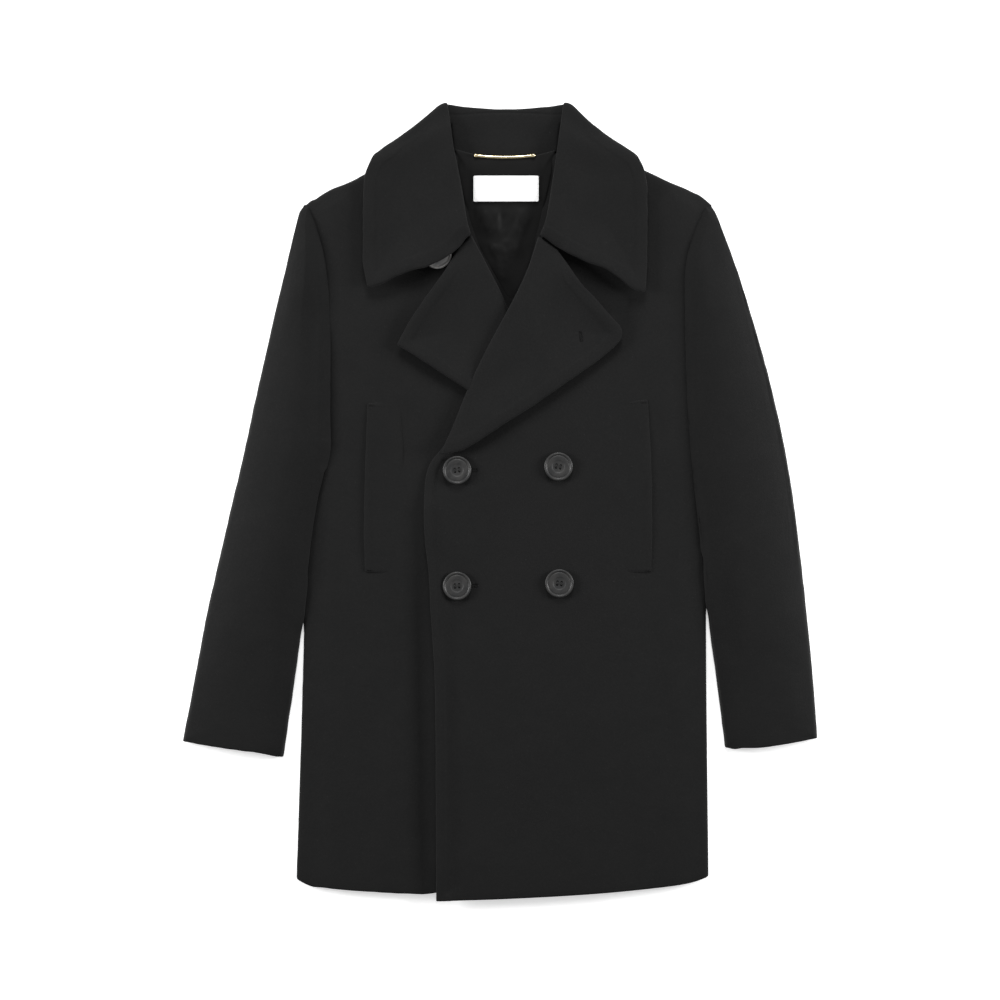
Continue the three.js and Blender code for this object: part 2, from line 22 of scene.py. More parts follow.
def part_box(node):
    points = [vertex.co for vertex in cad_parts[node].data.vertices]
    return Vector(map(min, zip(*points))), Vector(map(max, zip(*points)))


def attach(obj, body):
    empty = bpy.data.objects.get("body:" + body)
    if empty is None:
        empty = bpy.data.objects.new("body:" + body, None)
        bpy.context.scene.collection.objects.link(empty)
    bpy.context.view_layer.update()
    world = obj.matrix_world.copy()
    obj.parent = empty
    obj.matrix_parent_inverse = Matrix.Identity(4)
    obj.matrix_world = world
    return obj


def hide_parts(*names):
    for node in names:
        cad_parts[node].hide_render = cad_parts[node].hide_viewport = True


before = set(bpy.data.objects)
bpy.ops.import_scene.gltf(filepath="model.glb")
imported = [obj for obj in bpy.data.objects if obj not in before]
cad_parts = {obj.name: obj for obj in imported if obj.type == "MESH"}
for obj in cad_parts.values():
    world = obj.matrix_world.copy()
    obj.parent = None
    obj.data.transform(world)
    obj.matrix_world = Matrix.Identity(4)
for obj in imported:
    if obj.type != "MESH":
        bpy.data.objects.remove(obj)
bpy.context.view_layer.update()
log = logging.getLogger("coat")

BODY = "root"
PHOTO_WIDTH = 1.1          # metres of the surface that the photograph's 1000 pixels span
FloatArray = np.ndarray


class Slot(Enum):
    """The record's material slots."""

    WOOL = "wool"
    SATIN = "satin"
    RESIN = "button_resin"
    TAPE = "label_tape"
    GILT = "gilt"


class Value:
    """A number that varies over a surface: a shader socket that Python arithmetic works on."""

    def __init__(self, graph: Graph, socket: bpy.types.NodeSocket) -> None:
        """Wraps a socket of the graph's node tree."""
        self.graph = graph
        self.socket = socket

    def math(self, operation: str, *operands: Value | float) -> Value:
        """Adds one Math node.

        Args:
            operation: The node's operation, such as ADD.
            *operands: Its inputs in order, sockets or numbers.

        Returns:
            The node's result.
        """
        node = self.graph.node("ShaderNodeMath", {"operation": operation}, dict(enumerate(operands)))
        return Value(self.graph, node.outputs[0])

    def __add__(self, other: Value | float) -> Value:
        """self + other."""
        return self.math("ADD", self, other)

    def __radd__(self, other: float) -> Value:
        """other + self."""
        return self.math("ADD", other, self)

    def __sub__(self, other: Value | float) -> Value:
        """self - other."""
        return self.math("SUBTRACT", self, other)

    def __rsub__(self, other: float) -> Value:
        """other - self."""
        return self.math("SUBTRACT", other, self)

    def __mul__(self, other: Value | float) -> Value:
        """self * other."""
        return self.math("MULTIPLY", self, other)

    def __rmul__(self, other: float) -> Value:
        """other * self."""
        return self.math("MULTIPLY", other, self)

    def __truediv__(self, other: Value | float) -> Value:
        """self / other."""
        return self.math("DIVIDE", self, other)

    def __rtruediv__(self, other: float) -> Value:
        """other / self."""
        return self.math("DIVIDE", other, self)

    def __pow__(self, other: Value | float) -> Value:
        """self ** other."""
        return self.math("POWER", self, other)

    def smooth(self, low: float, high: float) -> Value:
        """0 below low, 1 above high, and a smooth step between them."""
        node = self.graph.node(
            "ShaderNodeMapRange",
            {"interpolation_type": "SMOOTHSTEP"},
            {"Value": self, "From Min": low, "From Max": high},
        )
        return Value(self.graph, node.outputs["Result"])


class Graph:
    """The node tree of one material, with a Principled shader at its end."""

    def __init__(self, name: str, constants: dict[str, object]) -> None:
        """Starts a material.

        Args:
            name: The material's name.
            constants: Values of the Principled shader's own sockets, the same all over the surface.
        """
        self.material = bpy.data.materials.new(name)
        self.material.use_nodes = True
        self.tree = self.material.node_tree
        self.tree.nodes.clear()
        self.shader = self.node("ShaderNodeBsdfPrincipled", {}, constants)
        self.node("ShaderNodeOutputMaterial", {}, {"Surface": self.shader.outputs[0]})
        self.place = self.node("ShaderNodeTexCoord").outputs["Object"]

    def node(
        self,
        kind: str,
        settings: dict[str, object] | None = None,
        inputs: dict[str | int, object] | None = None,
    ) -> bpy.types.Node:
        """Adds a node.

        Args:
            kind: Its type.
            settings: Its properties, which are set before its sockets.
            inputs: Values or links of its sockets, by name or number.

        Returns:
            The new node.
        """
        node = self.tree.nodes.new(kind)
        for key, value in (settings or {}).items():
            setattr(node, key, value)
        for key, value in (inputs or {}).items():
            self.feed(node.inputs[key], value)
        return node

    def feed(self, socket: bpy.types.NodeSocket, value: object) -> None:
        """Links a socket to a Value or another socket, or sets it to a constant."""
        if isinstance(value, Value):
            self.tree.links.new(value.socket, socket)
        elif isinstance(value, bpy.types.NodeSocket):
            self.tree.links.new(value, socket)
        else:
            socket.default_value = value

    def surface(self, **sockets: object) -> None:
        """Feeds the Principled shader's sockets: an underscore in a name stands for a space."""
        for name, value in sockets.items():
            self.feed(self.shader.inputs[name.replace("_", " ")], value)

    def stretched(self, x: float, y: float, z: float, turn: float = 0.0) -> bpy.types.NodeSocket:
        """Object coordinates turned about Z and then scaled along each axis."""
        turned = self.node(
            "ShaderNodeVectorRotate", {"rotation_type": "Z_AXIS"}, {"Vector": self.place, "Angle": turn}
        )
        scaled = self.node("ShaderNodeMapping", {}, {"Vector": turned.outputs[0], "Scale": (x, y, z)})
        return scaled.outputs[0]

    def noise(
        self, scale: float, detail: float = 2.0, roughness: float = 0.5, place: object = None
    ) -> Value:
        """Cloudy noise from 0 to 1.

        Args:
            scale: Clouds to the metre.
            detail: Octaves added to the first.
            roughness: How strong each octave is.
            place: The coordinates it reads, or Object coordinates.

        Returns:
            The noise.
        """
        node = self.node(
            "ShaderNodeTexNoise",
            {},
            {
                "Vector": self.place if place is None else place,
                "Scale": scale,
                "Detail": detail,
                "Roughness": roughness,
            },
        )
        return Value(self, node.outputs[0])

    def wave(self, scale: float, distortion: float, place: object) -> Value:
        """Straight ribs along X of the given coordinates, from 0 to 1."""
        node = self.node(
            "ShaderNodeTexWave",
            {"wave_type": "BANDS", "bands_direction": "X"},
            {"Vector": place, "Scale": scale, "Distortion": distortion, "Detail Scale": 1.0},
        )
        return Value(self, node.outputs["Fac"])

    def mix(self, factor: Value | float, low: object, high: object) -> bpy.types.NodeSocket:
        """The colour between low, where the factor is 0, and high, where it is 1."""
        node = self.node("ShaderNodeMix", {"data_type": "RGBA"}, {0: factor, 6: low, 7: high})
        return node.outputs[2]

    def bump(self, height: Value, distance: float, strength: float = 1.0) -> bpy.types.NodeSocket:
        """A normal bent by a height from 0 to 1 that stands for the given distance."""
        node = self.node(
            "ShaderNodeBump", {}, {"Height": height, "Distance": distance, "Strength": strength}
        )
        return node.outputs[0]


def grey(level: float, warmth: float = 0.0) -> tuple[float, float, float, float]:
    """A linear grey, a little warmer where warmth is above 0 and cooler below it."""
    return (level * (1 + warmth), level, level * (1 - warmth), 1.0)


@dataclass(frozen=True)
class WoolFinish:
    """Heavy milled wool: black felted cloth with a short nap and a little lint.

    Attributes:
        name: The material's name.
        dark: Reflectance of the cloth in the troughs of its mottling.
        light: Reflectance on their crests.
        nap: Depth of the short fibres of the surface.
        cockle: Depth of the slow unevenness that milling leaves.
    """

    name: str = "black_wool"
    dark: float = 0.0070
    light: float = 0.0086
    nap: float = 0.00045
    cockle: float = 0.0008

    def material(self) -> bpy.types.Material:
        """Builds the finish.

        Returns:
            The material.
        """
        graph = Graph(
            self.name,
            {
                "Specular IOR Level": 0.12,
                "Sheen Weight": 0.07,
                "Sheen Roughness": 0.42,
                "Sheen Tint": grey(0.75),
            },
        )
        mottling = graph.noise(38.0, 3.0, 0.55)
        felt = graph.noise(420.0, 3.0, 0.6)
        fibres = graph.noise(1500.0, 2.0, 0.7, graph.stretched(1.0, 0.45, 1.0, 0.4))
        lint = graph.noise(900.0, 1.0, 0.5, graph.stretched(0.35, 1.0, 1.0, 0.9)).smooth(0.735, 0.79)
        shade = mottling.smooth(0.3, 0.7) * 0.2 + felt.smooth(0.32, 0.7) * 0.4 + fibres * 0.4
        cloth = graph.mix(shade, grey(self.dark, -0.02), grey(self.light, 0.01))
        colour = graph.mix(lint * 0.2, cloth, grey(0.05))
        cockled = graph.bump(graph.noise(75.0, 2.0, 0.5), self.cockle, 0.35)
        nap = graph.node(
            "ShaderNodeBump",
            {},
            {"Height": felt * 0.55 + fibres * 0.45, "Distance": self.nap, "Strength": 0.8, "Normal": cockled},
        )
        graph.surface(Base_Color=colour, Roughness=0.93 - shade * 0.12, Normal=nap.outputs[0])
        return graph.material


@dataclass(frozen=True)
class SatinFinish:
    """Lining satin: thin, closely woven, black and softly bright.

    Attributes:
        name: The material's name.
        thread: Width of one warp thread.
    """

    name: str = "lining_satin"
    thread: float = 0.0005

    def material(self) -> bpy.types.Material:
        """Builds the finish.

        Returns:
            The material.
        """
        graph = Graph(self.name, {"Specular IOR Level": 0.10, "Sheen Weight": 0.02})
        twill = graph.wave(0.16 / self.thread, 1.2, graph.stretched(1.0, 1.0, 1.0, math.radians(62)))
        cloudy = graph.noise(60.0, 2.0, 0.5)
        colour = graph.mix(cloudy * 0.6 + twill * 0.4, grey(0.0042), grey(0.0066, 0.01))
        graph.surface(
            Base_Color=colour,
            Roughness=0.47 + cloudy * 0.1,
            Normal=graph.bump(twill, 0.00006, 0.5),
        )
        return graph.material


@dataclass(frozen=True)
class ResinFinish:
    """Polished dark horn-like resin of the buttons, faintly clouded.

    Attributes:
        name: The material's name.
        dark: Reflectance of the darker clouds.
        light: Reflectance of the lighter ones.
    """

    name: str = "button_resin"
    dark: float = 0.010
    light: float = 0.022

    def material(self) -> bpy.types.Material:
        """Builds the finish.

        Returns:
            The material.
        """
        graph = Graph(self.name, {"IOR": 1.48, "Coat Roughness": 0.15})
        clouds = graph.noise(110.0, 4.0, 0.6, graph.stretched(1.0, 0.45, 1.0, 0.7))
        scratches = graph.noise(2600.0, 1.0, 0.5, graph.stretched(0.06, 1.0, 1.0, 0.3))
        colour = graph.mix(clouds.smooth(0.35, 0.68), grey(self.dark, -0.03), grey(self.light, 0.03))
        graph.surface(
            Base_Color=colour,
            Roughness=0.42 + scratches * 0.12,
            Coat_Weight=0.08 - scratches * 0.05,
            Normal=graph.bump(scratches, 0.00003, 0.5),
        )
        return graph.material


@dataclass(frozen=True)
class TapeFinish:
    """White woven label tape with fine cross ribs.

    Attributes:
        name: The material's name.
        rib: Distance from one rib to the next.
    """

    name: str = "label_tape"
    rib: float = 0.0006

    def material(self) -> bpy.types.Material:
        """Builds the finish.

        Returns:
            The material.
        """
        graph = Graph(self.name, {"Specular IOR Level": 0.3, "Sheen Weight": 0.15})
        ribs = graph.wave(0.16 / self.rib, 0.4, graph.stretched(1.0, 1.0, 1.0, math.pi / 2))
        warp = graph.noise(1800.0, 1.0, 0.5, graph.stretched(1.0, 0.2, 1.0))
        colour = graph.mix(ribs * 0.5 + warp * 0.5, grey(0.80, 0.004), grey(0.90))
        graph.surface(
            Base_Color=colour,
            Roughness=0.55 + warp * 0.15,
            Normal=graph.bump(ribs, 0.00008, 0.5),
        )
        return graph.material


@dataclass(frozen=True)
class GiltFinish:
    """Pale gold-tone metal of the hanger bar, brushed along its length."""

    name: str = "gilt"

    def material(self) -> bpy.types.Material:
        """Builds the finish.

        Returns:
            The material.
        """
        graph = Graph(self.name, {"Metallic": 1.0})
        brushed = graph.noise(2200.0, 1.0, 0.5, graph.stretched(0.08, 1.0, 1.0))
        tarnish = graph.noise(140.0, 2.0, 0.5).smooth(0.45, 0.8)
        gold = graph.mix(brushed, (0.80, 0.66, 0.36, 1.0), (0.93, 0.83, 0.58, 1.0))
        graph.surface(
            Base_Color=graph.mix(tarnish * 0.5, gold, (0.62, 0.47, 0.24, 1.0)),
            Roughness=0.20 + brushed * 0.14,
            Normal=graph.bump(brushed, 0.00003, 0.5),
        )
        return graph.material


@dataclass(frozen=True)
class ThreadFinish:
    """Twisted sewing thread.

    Attributes:
        name: The material's name.
        level: Its reflectance.
        twist: Length of one turn of its plies.
    """

    name: str
    level: float
    twist: float = 0.0009

    def material(self) -> bpy.types.Material:
        """Builds the finish.

        Returns:
            The material.
        """
        graph = Graph(self.name, {"Specular IOR Level": 0.10})
        plies = graph.wave(0.16 / self.twist, 0.8, graph.stretched(1.0, 1.0, 1.0, math.pi / 4))
        colour = graph.mix(plies, grey(self.level * 0.6), grey(self.level * 1.3, 0.01))
        graph.surface(
            Base_Color=colour, Roughness=0.62 - plies * 0.12, Normal=graph.bump(plies, 0.0001, 0.7)
        )
        return graph.material


@dataclass
class Finishes:
    """The coat's materials, each built once.

    Attributes:
        wool: Outer cloth.
        satin: Lining.
        resin: Front buttons.
        painted_light_resin: The collar's button, in a paler copy of the resin whose extra lightness is painted
            light: it stands in for lamplight that the collar leaf keeps off it.
        tape: Label.
        gilt: Hanger bar.
        thread: Sewing thread on the wool.
        button_thread: Thicker waxed thread in the buttons.
        label_thread: Thread that holds the label.
    """

    wool: bpy.types.Material = field(default_factory=lambda: WoolFinish().material())
    satin: bpy.types.Material = field(default_factory=lambda: SatinFinish().material())
    resin: bpy.types.Material = field(default_factory=lambda: ResinFinish().material())
    # Paler copy of the button resin for the collar button: its extra lightness is painted light, standing in
    # for lamplight that the leaf's shade keeps off it.
    painted_light_resin: bpy.types.Material = field(
        default_factory=lambda: ResinFinish("collar_button_painted_light_resin", 0.09, 0.20).material()
    )
    tape: bpy.types.Material = field(default_factory=lambda: TapeFinish().material())
    gilt: bpy.types.Material = field(default_factory=lambda: GiltFinish().material())
    thread: bpy.types.Material = field(default_factory=lambda: ThreadFinish("thread", 0.0060).material())
    button_thread: bpy.types.Material = field(
        default_factory=lambda: ThreadFinish("button_thread", 0.020).material()
    )
    label_thread: bpy.types.Material = field(
        default_factory=lambda: ThreadFinish("label_thread", 0.72).material()
    )


def smooth(value: FloatArray, low: float, high: float) -> FloatArray:
    """A smooth step from 0 at low to 1 at high, which may lie either way round."""
    part = np.clip((value - low) / (high - low), 0.0, 1.0)
    return part * part * (3.0 - 2.0 * part)


def unevenness(places: FloatArray, scale: float, seed: float) -> FloatArray:
    """Cloudy noise from -1 to 1 at places on the surface, with so many clouds to the metre."""
    return np.array([noise.noise(Vector((x * scale, y * scale, seed))) for x, y in places])


@dataclass(frozen=True)
class Crease:
    """One soft ridge of the cloth, or a trough where its height is below 0.

    Attributes:
        x0: Where it starts.
        y0: Where it starts.
        x1: Where it ends.
        y1: Where it ends.
        width: Half its width.
        height: How far it stands up at its middle.
        bow: How far its middle lies to the left of the straight line, seen from its start.
    """

    x0: float
    y0: float
    x1: float
    y1: float
    width: float
    height: float
    bow: float = 0.0

    def rise(self, places: FloatArray) -> FloatArray:
        """Height of the crease.

        Args:
            places: Points on the surface, a row each.

        Returns:
            The height at each point.
        """
        start = np.array((self.x0, self.y0))
        run = np.array((self.x1, self.y1)) - start
        length = float(np.hypot(*run))
        along_line = run / length
        across_line = np.array((-along_line[1], along_line[0]))
        offset = places - start
        along = offset @ along_line / length
        bowed = self.bow * (1.0 - (2.0 * np.clip(along, 0.0, 1.0) - 1.0) ** 2)
        across = (offset @ across_line - bowed) / self.width
        ends = smooth(along, -0.12, 0.3) * smooth(along, 1.12, 0.7)
        return self.height * ends * np.exp(-across * across)


def rise_of(creases: Iterable[Crease], places: FloatArray) -> FloatArray:
    """The creases' heights added up at each place."""
    total = np.zeros(len(places))
    for crease in creases:
        total += crease.rise(places)
    return total


@dataclass(frozen=True)
class Ridge:
    """The turned seam allowance that shows as a raised band inside a sewn edge.

    Attributes:
        band: Width of the band.
        height: How far it stands up.
        soft: How wide its inner step is.
        wander: How far the step strays from its line.
        shows: Tells which points of the piece's outline have the band along them.
    """

    band: float
    height: float
    soft: float = 0.003
    wander: float = 0.0
    shows: Callable[[float, float], bool] = lambda x, y: True


def read_positions(mesh: bpy.types.Mesh) -> FloatArray:
    """The mesh's points, a row each."""
    flat = np.empty(len(mesh.vertices) * 3)
    mesh.vertices.foreach_get("co", flat)
    return flat.reshape(-1, 3)


def write_positions(mesh: bpy.types.Mesh, points: FloatArray) -> None:
    """Moves the mesh's points to the rows given."""
    mesh.vertices.foreach_set("co", points.ravel())
    mesh.update()


def mesh_object(name: str, shape: bmesh.types.BMesh, material: bpy.types.Material) -> bpy.types.Object:
    """Turns a bmesh into a smooth-shaded object.

    Args:
        name: The object's name.
        shape: The bmesh, which is freed.
        material: Its only material.

    Returns:
        The object, linked to the scene.
    """
    mesh = bpy.data.meshes.new(name)
    shape.to_mesh(mesh)
    shape.free()
    mesh.materials.append(material)
    mesh.shade_smooth()
    thing = bpy.data.objects.new(name, mesh)
    bpy.context.scene.collection.objects.link(thing)
    return thing


def settle_modifiers(thing: bpy.types.Object) -> None:
    """Replaces an object's mesh by what its modifiers make of it, and removes them."""
    graph = bpy.context.evaluated_depsgraph_get()
    finished = bpy.data.meshes.new_from_object(thing.evaluated_get(graph))
    thing.modifiers.clear()
    thing.data = finished


def subdivide(thing: bpy.types.Object, levels: int) -> None:
    """Rounds an object by a subdivision surface of so many levels, and keeps the result."""
    rounding = thing.modifiers.new("Rounding", "SUBSURF")
    rounding.levels = levels
    rounding.render_levels = levels
    settle_modifiers(thing)


def hand_in(thing: bpy.types.Object, slot: Slot, *nodes: str) -> bpy.types.Object:
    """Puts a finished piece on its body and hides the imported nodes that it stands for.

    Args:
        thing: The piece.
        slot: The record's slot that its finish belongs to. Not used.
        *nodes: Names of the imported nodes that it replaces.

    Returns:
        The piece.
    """
    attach(thing, BODY)
    if nodes:
        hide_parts(*nodes)
    top = max(vertex.co.z for vertex in thing.data.vertices)
    log.info("%s: %d faces, %.1f mm high", thing.name, len(thing.data.polygons), top * 1000)
    return thing


@dataclass(frozen=True)
class BodyForm:
    """How the body of the coat stands up from flat, for the fronts and all that lies on them.

    Attributes:
        middle: X of the body's middle.
        half_width: Half its width at the side seams.
        roll: Width over which it rolls up from each side.
        roll_rise: Its rise there.
        shoulder: Width over which it goes on to rise.
        crown: Its further rise over the middle.
        sway: Height of its broad unevenness.
        ripple: Height of its finer unevenness.
        creases: Ridges and troughs that the fronts share.
        gorges: Hollows between the collar's leaves and the lapels.
    """

    middle: float = 0.006
    half_width: float = 0.216
    roll: float = 0.028
    roll_rise: float = 0.0034
    shoulder: float = 0.110
    crown: float = 0.0014
    sway: float = 0.0009
    ripple: float = 0.0003
    creases: tuple[Crease, ...] = (
        Crease(-0.200, 0.290, -0.150, 0.330, 0.040, 0.0026),
        Crease(0.215, 0.290, 0.165, 0.330, 0.040, 0.0026),
        Crease(-0.165, -0.160, -0.150, -0.330, 0.022, 0.0010, 0.006),
        Crease(0.150, -0.150, 0.168, -0.350, 0.024, 0.0010, -0.008),
        Crease(0.030, -0.170, 0.046, -0.360, 0.020, 0.0006, 0.004),
        Crease(-0.030, -0.150, -0.036, -0.300, 0.018, 0.0005, -0.004),
        Crease(0.085, 0.030, 0.150, 0.000, 0.012, 0.0007, 0.003),
        Crease(0.080, -0.096, 0.140, -0.122, 0.012, 0.0006, -0.003),
        Crease(0.150, 0.190, 0.185, 0.080, 0.018, 0.0012, 0.006),
        Crease(-0.135, 0.150, -0.165, 0.060, 0.018, 0.0010, -0.006),
    )

    gorges: tuple[Crease, ...] = (
        Crease(0.060, 0.272, 0.150, 0.196, 0.025, -0.0060),
        Crease(-0.055, 0.272, -0.140, 0.222, 0.023, -0.0050),
    )

    def above_gorges(self) -> tuple[Crease, ...]:
        """Creases that keep a piece level over the hollows between the collar and the lapels."""
        return tuple(replace(hollow, height=-hollow.height) for hollow in self.gorges)

    def rise(self, places: FloatArray) -> FloatArray:
        """How far the fronts stand up off the back.

        Args:
            places: Points on the surface, a row each.

        Returns:
            The rise at each point, never below 0.
        """
        inside = self.half_width - np.abs(places[:, 0] - self.middle)
        rolled = self.roll_rise * smooth(inside, 0.0, self.roll)
        body = smooth(inside, 0.0, self.shoulder)
        soft = self.sway * unevenness(places, 11.0, 1.0) + self.ripple * unevenness(places, 34.0, 5.0)
        folds = rise_of(self.creases + self.gorges, places)
        return np.maximum(rolled + body * (self.crown + soft) + folds, 0.0)


@dataclass(frozen=True)
class Push:
    """An edge that is pushed on a little, to close its seam with what it meets.

    Attributes:
        x: How far.
        y: How far.
        at: Tells which points of the outline are on that edge.
        reach: How far in from the edge the cloth follows.
        z: How far it is lifted there, or sunk where this is below 0.
    """

    x: float
    y: float
    at: Callable[[float, float], bool]
    reach: float = 0.010
    z: float = 0.0


@dataclass(frozen=True)
class Puff:
    """The rounded rise of a sleeve between its outer fold and its inner edge.

    Attributes:
        height: Of the rise in its middle.
        fold: Tells which points of the outline are on the outer fold.
        fold_reach: How far in from the fold it rounds up.
        seam: Tells which points of the outline are on the inner edge.
        seam_reach: How far in from that edge it rounds up.
        share: Part of the rise that is left at each place.
    """

    height: float
    fold: Callable[[float, float], bool]
    fold_reach: float
    seam: Callable[[float, float], bool]
    seam_reach: float
    share: Callable[[FloatArray], FloatArray]


@dataclass
class ClothPiece:
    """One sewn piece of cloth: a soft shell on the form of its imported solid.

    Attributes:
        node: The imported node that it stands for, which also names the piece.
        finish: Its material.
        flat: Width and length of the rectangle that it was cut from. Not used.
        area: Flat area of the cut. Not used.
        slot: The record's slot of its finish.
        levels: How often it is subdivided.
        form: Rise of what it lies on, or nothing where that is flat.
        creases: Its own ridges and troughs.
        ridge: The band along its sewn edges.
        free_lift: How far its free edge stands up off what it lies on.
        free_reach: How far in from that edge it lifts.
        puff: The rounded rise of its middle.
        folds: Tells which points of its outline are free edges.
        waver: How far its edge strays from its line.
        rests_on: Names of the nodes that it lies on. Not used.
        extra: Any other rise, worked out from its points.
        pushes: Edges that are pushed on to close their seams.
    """

    node: str
    finish: bpy.types.Material
    flat: tuple[float, float]
    area: float
    slot: Slot = Slot.WOOL
    levels: int = 3
    form: BodyForm | None = None
    creases: tuple[Crease, ...] = ()
    ridge: Ridge | None = None
    free_lift: float = 0.0
    free_reach: float = 0.045
    puff: Puff | None = None
    folds: Callable[[float, float], bool] = lambda x, y: True
    waver: float = 0.0004
    rests_on: tuple[str, ...] = ()
    extra: Callable[[FloatArray], FloatArray] | None = None
    pushes: tuple[Push, ...] = ()

    def shell(self) -> bpy.types.Object:
        """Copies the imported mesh, merges it, joins its triangles and rounds it.

        Returns:
            The rounded object.
        """
        shape = bmesh.new()
        shape.from_mesh(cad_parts[self.node].data)
        bmesh.ops.remove_doubles(shape, verts=shape.verts, dist=1e-5)
        bmesh.ops.join_triangles(
            shape,
            faces=shape.faces,
            angle_face_threshold=math.radians(40),
            angle_shape_threshold=math.radians(80),
        )
        piece = mesh_object(f"{self.node}_cloth", shape, self.finish)
        subdivide(piece, self.levels)
        piece.data.shade_smooth()
        return piece

    def rim_points(self, mesh: bpy.types.Mesh, points: FloatArray) -> FloatArray:
        """Points of the piece's cut or folded edge.

        Args:
            mesh: The rounded mesh, all of quads.
            points: Its points, a row each.

        Returns:
            The points of its upright faces, seen from above.
        """
        count = len(mesh.polygons)
        normals = np.empty(count * 3)
        mesh.polygon_normals.foreach_get("vector", normals)
        corners = np.empty(count * 4, dtype=np.int32)
        mesh.loops.foreach_get("vertex_index", corners)
        upright = np.abs(normals.reshape(-1, 3)[:, 2]) < 0.4
        return points[np.unique(corners.reshape(-1, 4)[upright])][:, :2]

    def distance_to(
        self, rim: FloatArray, places: FloatArray, shows: Callable[[float, float], bool]
    ) -> FloatArray:
        """Distance from each place to the nearest point of the edge that shows() picks."""
        chosen = [(x, y) for x, y in rim if shows(x, y)]
        tree = kdtree.KDTree(len(chosen))
        for number, (x, y) in enumerate(chosen):
            tree.insert((x, y, 0.0), number)
        tree.balance()
        return np.array([tree.find((x, y, 0.0))[2] for x, y in places])

    def shape(self, piece: bpy.types.Object) -> None:
        """Lifts, puffs, creases and edges the piece."""
        mesh = piece.data
        points = read_positions(mesh)
        places = points[:, :2].copy()
        normals = np.empty(len(points) * 3)
        mesh.vertex_normals.foreach_get("vector", normals)
        outer = smooth(normals.reshape(-1, 3)[:, 2], 0.0, 0.5)
        rim = self.rim_points(mesh, points)
        rise = rise_of(self.creases, places)
        fold_distance = self.distance_to(rim, places, self.folds)
        if self.free_lift:
            curl = 1.0 + 0.35 * unevenness(places, 16.0, 9.0)
            rise += self.free_lift * curl * smooth(fold_distance, self.free_reach, 0.0)
        if self.puff:
            from_fold = self.distance_to(rim, places, self.puff.fold)
            from_seam = self.distance_to(rim, places, self.puff.seam)
            outer_side = np.clip(from_fold / self.puff.fold_reach, 0.0, 1.0)
            inner_side = np.clip(from_seam / self.puff.seam_reach, 0.0, 1.0)
            rounding = (1.0 - (1.0 - outer_side) ** 2) * (1.0 - (1.0 - inner_side) ** 2)
            rise += self.puff.height * rounding * self.puff.share(places)
        if self.extra:
            rise += self.extra(places)
        if self.form:
            rise = np.maximum(rise + self.form.rise(places), 0.0)
        if self.ridge:
            band = self.distance_to(rim, places, self.ridge.shows)
            line = self.ridge.band + self.ridge.wander * unevenness(places, 55.0, 3.0)
            half = self.ridge.soft / 2
            rise += outer * self.ridge.height * smooth(band - line, half, -half)
        edge = smooth(fold_distance, 0.006, 0.0) * self.waver
        points[:, 0] += edge * unevenness(places, 75.0, 21.0)
        points[:, 1] += edge * unevenness(places, 75.0, 33.0)
        for push in self.pushes:
            share = smooth(self.distance_to(rim, places, push.at), push.reach, 0.0)
            points[:, 0] += push.x * share
            points[:, 1] += push.y * share
            rise += push.z * share
        room = np.clip(points[:, 2] / 0.006, 0.0, 1.0)
        points[:, 2] += np.maximum(rise, 0.0) + np.minimum(rise, 0.0) * room
        write_positions(mesh, points)

    def build(self) -> bpy.types.Object:
        """Returns:
            The piece.
        """
        piece = self.shell()
        self.shape(piece)
        hand_in(piece, self.slot, self.node)
        side = sum(face.area for face in piece.data.polygons) / 2
        log.info("%s: %.4f square metres a side", piece.name, side)
        return piece


def sweep(
    shape: bmesh.types.BMesh, path: Sequence[Vector], radii: Sequence[float], sides: int = 10
) -> None:
    """Adds a closed round rod along a path.

    Args:
        shape: The bmesh that it is added to.
        path: Points along its middle.
        radii: Its radius at each point.
        sides: Corners of its section.
    """
    rings = []
    last = len(path) - 1
    for number, (point, radius) in enumerate(zip(path, radii)):
        tangent = path[min(number + 1, last)] - path[max(number - 1, 0)]
        turn = tangent.to_track_quat("Z", "Y").to_matrix().to_4x4()
        made = bmesh.ops.create_circle(
            shape,
            cap_ends=number in (0, last),
            segments=sides,
            radius=radius,
            matrix=Matrix.Translation(point) @ turn,
        )
        rings.append({edge for vert in made["verts"] for edge in vert.link_edges})
    for ring, following in zip(rings, rings[1:]):
        bmesh.ops.bridge_loops(shape, edges=list(ring | following))
    bmesh.ops.recalc_face_normals(shape, faces=shape.faces)


def surface_height(piece: bpy.types.Object, x: float, y: float) -> float:
    """Height of a piece's upper side at a place, or 0 where it isn't."""
    hit, point, _, _ = piece.ray_cast(Vector((x, y, 0.2)), Vector((0.0, 0.0, -1.0)))
    return point.z if hit else 0.0


def add_stitch(
    shape: bmesh.types.BMesh, middle: Vector, turn: float, length: float, thickness: float
) -> None:
    """Adds one stitch: a small low spindle of thread.

    Args:
        shape: The bmesh that it is added to.
        middle: Its middle.
        turn: Its direction, an angle from +X.
        length: Its length.
        thickness: Its width and height.
    """
    size = Matrix.Diagonal((length / 2, thickness / 2, thickness / 2, 1.0))
    lengthwise = Matrix.Rotation(math.pi / 2, 4, "Y")
    place = Matrix.Translation(middle) @ Matrix.Rotation(turn, 4, "Z") @ size @ lengthwise
    bmesh.ops.create_uvsphere(shape, u_segments=6, v_segments=4, radius=1.0, matrix=place)


